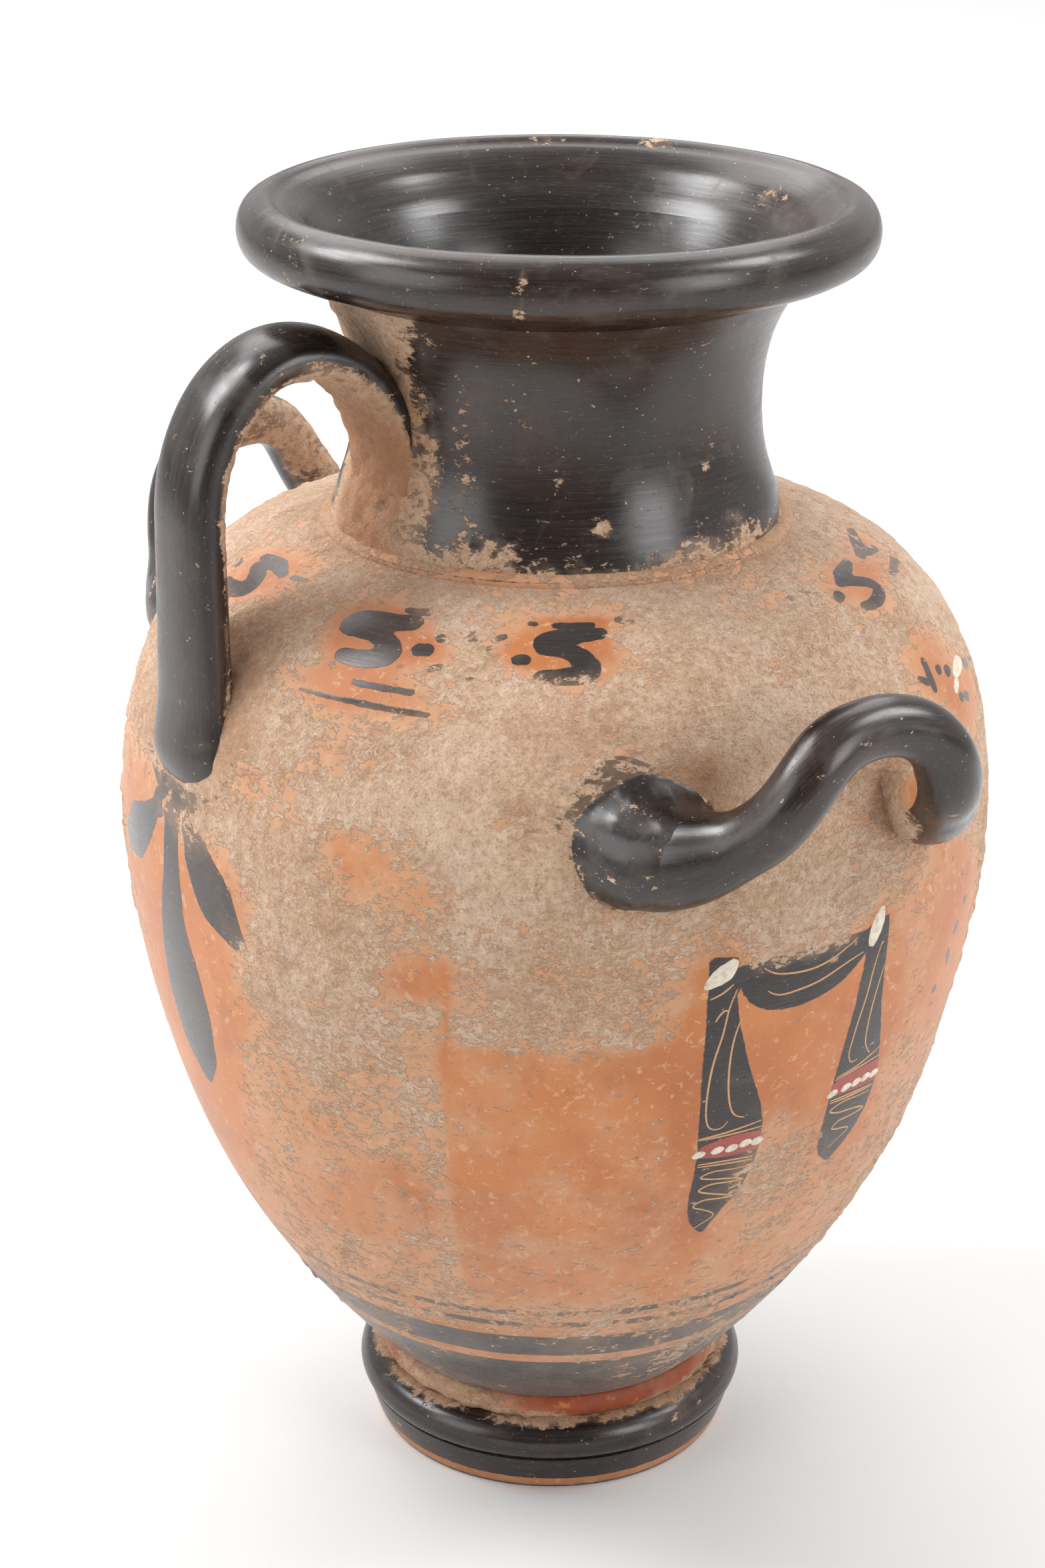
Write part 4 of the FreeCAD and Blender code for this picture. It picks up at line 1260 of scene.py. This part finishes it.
# ---------------------------------------------------------------- set, light and camera
def seen(x, y, z):
    """A place given as the camera sees it: right, away from it, and up, in metres."""
    turn = math.radians(FRONT + 90)
    c, s = math.cos(turn), math.sin(turn)
    return Vector((x * c - y * s, x * s + y * c, z))


def build_camera():
    """The camera, solved from the jar's own circles and silhouette in the photograph."""
    yaw, pitch, roll = (math.radians(angle) for angle in (-0.6023, 21.92, 0.247))
    level = math.cos(pitch)
    ahead = seen(math.sin(yaw) * level, math.cos(yaw) * level, -math.sin(pitch))
    right = seen(math.cos(yaw), -math.sin(yaw), 0)
    up = right.cross(ahead)
    tilted_right = right * math.cos(roll) + up * math.sin(roll)
    tilted_up = up * math.cos(roll) - right * math.sin(roll)
    data = bpy.data.cameras.new("camera")
    data.sensor_width = 36
    data.lens = 74.62
    camera = bpy.data.objects.new("camera", data)
    basis = [tilted_right, tilted_up, -ahead]
    place = seen(0, -0.9251, 0.5891)
    for row in range(3):
        for column in range(3):
            camera.matrix_world[row][column] = basis[column][row]
        camera.matrix_world[row][3] = place[row]
    bpy.context.scene.collection.objects.link(camera)
    bpy.context.scene.camera = camera


def build_light(name, place, size, energy, aim=(0, 0, 0.2)):
    data = bpy.data.lights.new(name, "AREA")
    data.shape = "RECTANGLE"
    data.size, data.size_y = size
    data.energy = energy
    light = bpy.data.objects.new(name, data)
    light.location = seen(*place)
    towards = seen(*aim) - light.location
    light.rotation_euler = towards.to_track_quat("-Z", "Y").to_euler()
    bpy.context.scene.collection.objects.link(light)


def build_floor():
    mesh = bpy.data.meshes.new("floor")
    reach = 30.0
    corners = [(-reach, -reach, 0), (reach, -reach, 0), (reach, reach, 0), (-reach, reach, 0)]
    mesh.from_pydata(corners, [], [(0, 1, 2, 3)])
    g = Graph("floor_paper")
    tone = g.mix(g.noise(30, 3, 0.5), srgb(223, 223, 223), srgb(220, 220, 220))
    mesh.materials.append(g.finish(tone, 0.9, g.times(g.noise(800, 2, 0.5), 0.01), specular=0.1))
    floor = bpy.data.objects.new("floor", mesh)
    bpy.context.scene.collection.objects.link(floor)


def build_world():
    """A soft studio: brightest at the horizon, and dimmer behind the camera."""
    world = bpy.data.worlds.new("studio")
    world.use_nodes = True
    tree = world.node_tree
    around = tree.nodes.new("ShaderNodeTexCoord").outputs["Generated"]

    def eased(value, *limits):
        made = tree.nodes.new("ShaderNodeMapRange")
        made.interpolation_type = "SMOOTHSTEP"
        tree.links.new(value, made.inputs[0])
        for index, limit in enumerate(limits, 1):
            made.inputs[index].default_value = limit
        return made.outputs[0]

    parts = tree.nodes.new("ShaderNodeSeparateXYZ")
    tree.links.new(around, parts.inputs[0])
    facing = tree.nodes.new("ShaderNodeVectorMath")
    facing.operation = "DOT_PRODUCT"
    tree.links.new(around, facing.inputs[0])
    facing.inputs[1].default_value = seen(0, -1, 0)
    product = tree.nodes.new("ShaderNodeMath")
    product.operation = "MULTIPLY"
    tree.links.new(eased(parts.outputs[2], 0.05, 0.9, 0.76, 0.58), product.inputs[0])
    tree.links.new(eased(facing.outputs["Value"], 0.0, 0.9, 1.0, 0.25), product.inputs[1])
    background = tree.nodes["Background"]
    background.inputs["Strength"].default_value = 1.0
    tree.links.new(product.outputs[0], background.inputs["Color"])
    bpy.context.scene.world = world


def build_lights():
    """Soft boxes to both sides and in front, and a wide one over the paper behind."""
    build_light("key_left", (-1.05, 0.1, 1.3), (0.6, 0.8), 19)
    build_light("fill_right", (1.05, 0.0, 1.3), (0.5, 0.6), 9.5)
    build_light("front_left", (-1.1, -0.8, 0.7), (0.8, 0.9), 5.5)
    build_light("front_right", (1.1, -0.9, 0.7), (0.6, 0.8), 7)
    build_light("back", (-0.2, 2.4, 2.4), (3.0, 3.0), 80, aim=(0, 2.4, 0))


build_camera()
build_floor()
build_world()
build_lights()
bpy.context.scene.view_settings.view_transform = "Standard"
build_lower_body()
build_shoulder()
build_neck_fillet()
build_neck()
build_mouth()
build_foot()
build_foot_fillet()
build_strap()
for handle in SIDE_HANDLES:
    build_side_handle(handle)
    for pad_side in ("left", "right"):
        build_pad(handle, pad_side)
build_details()
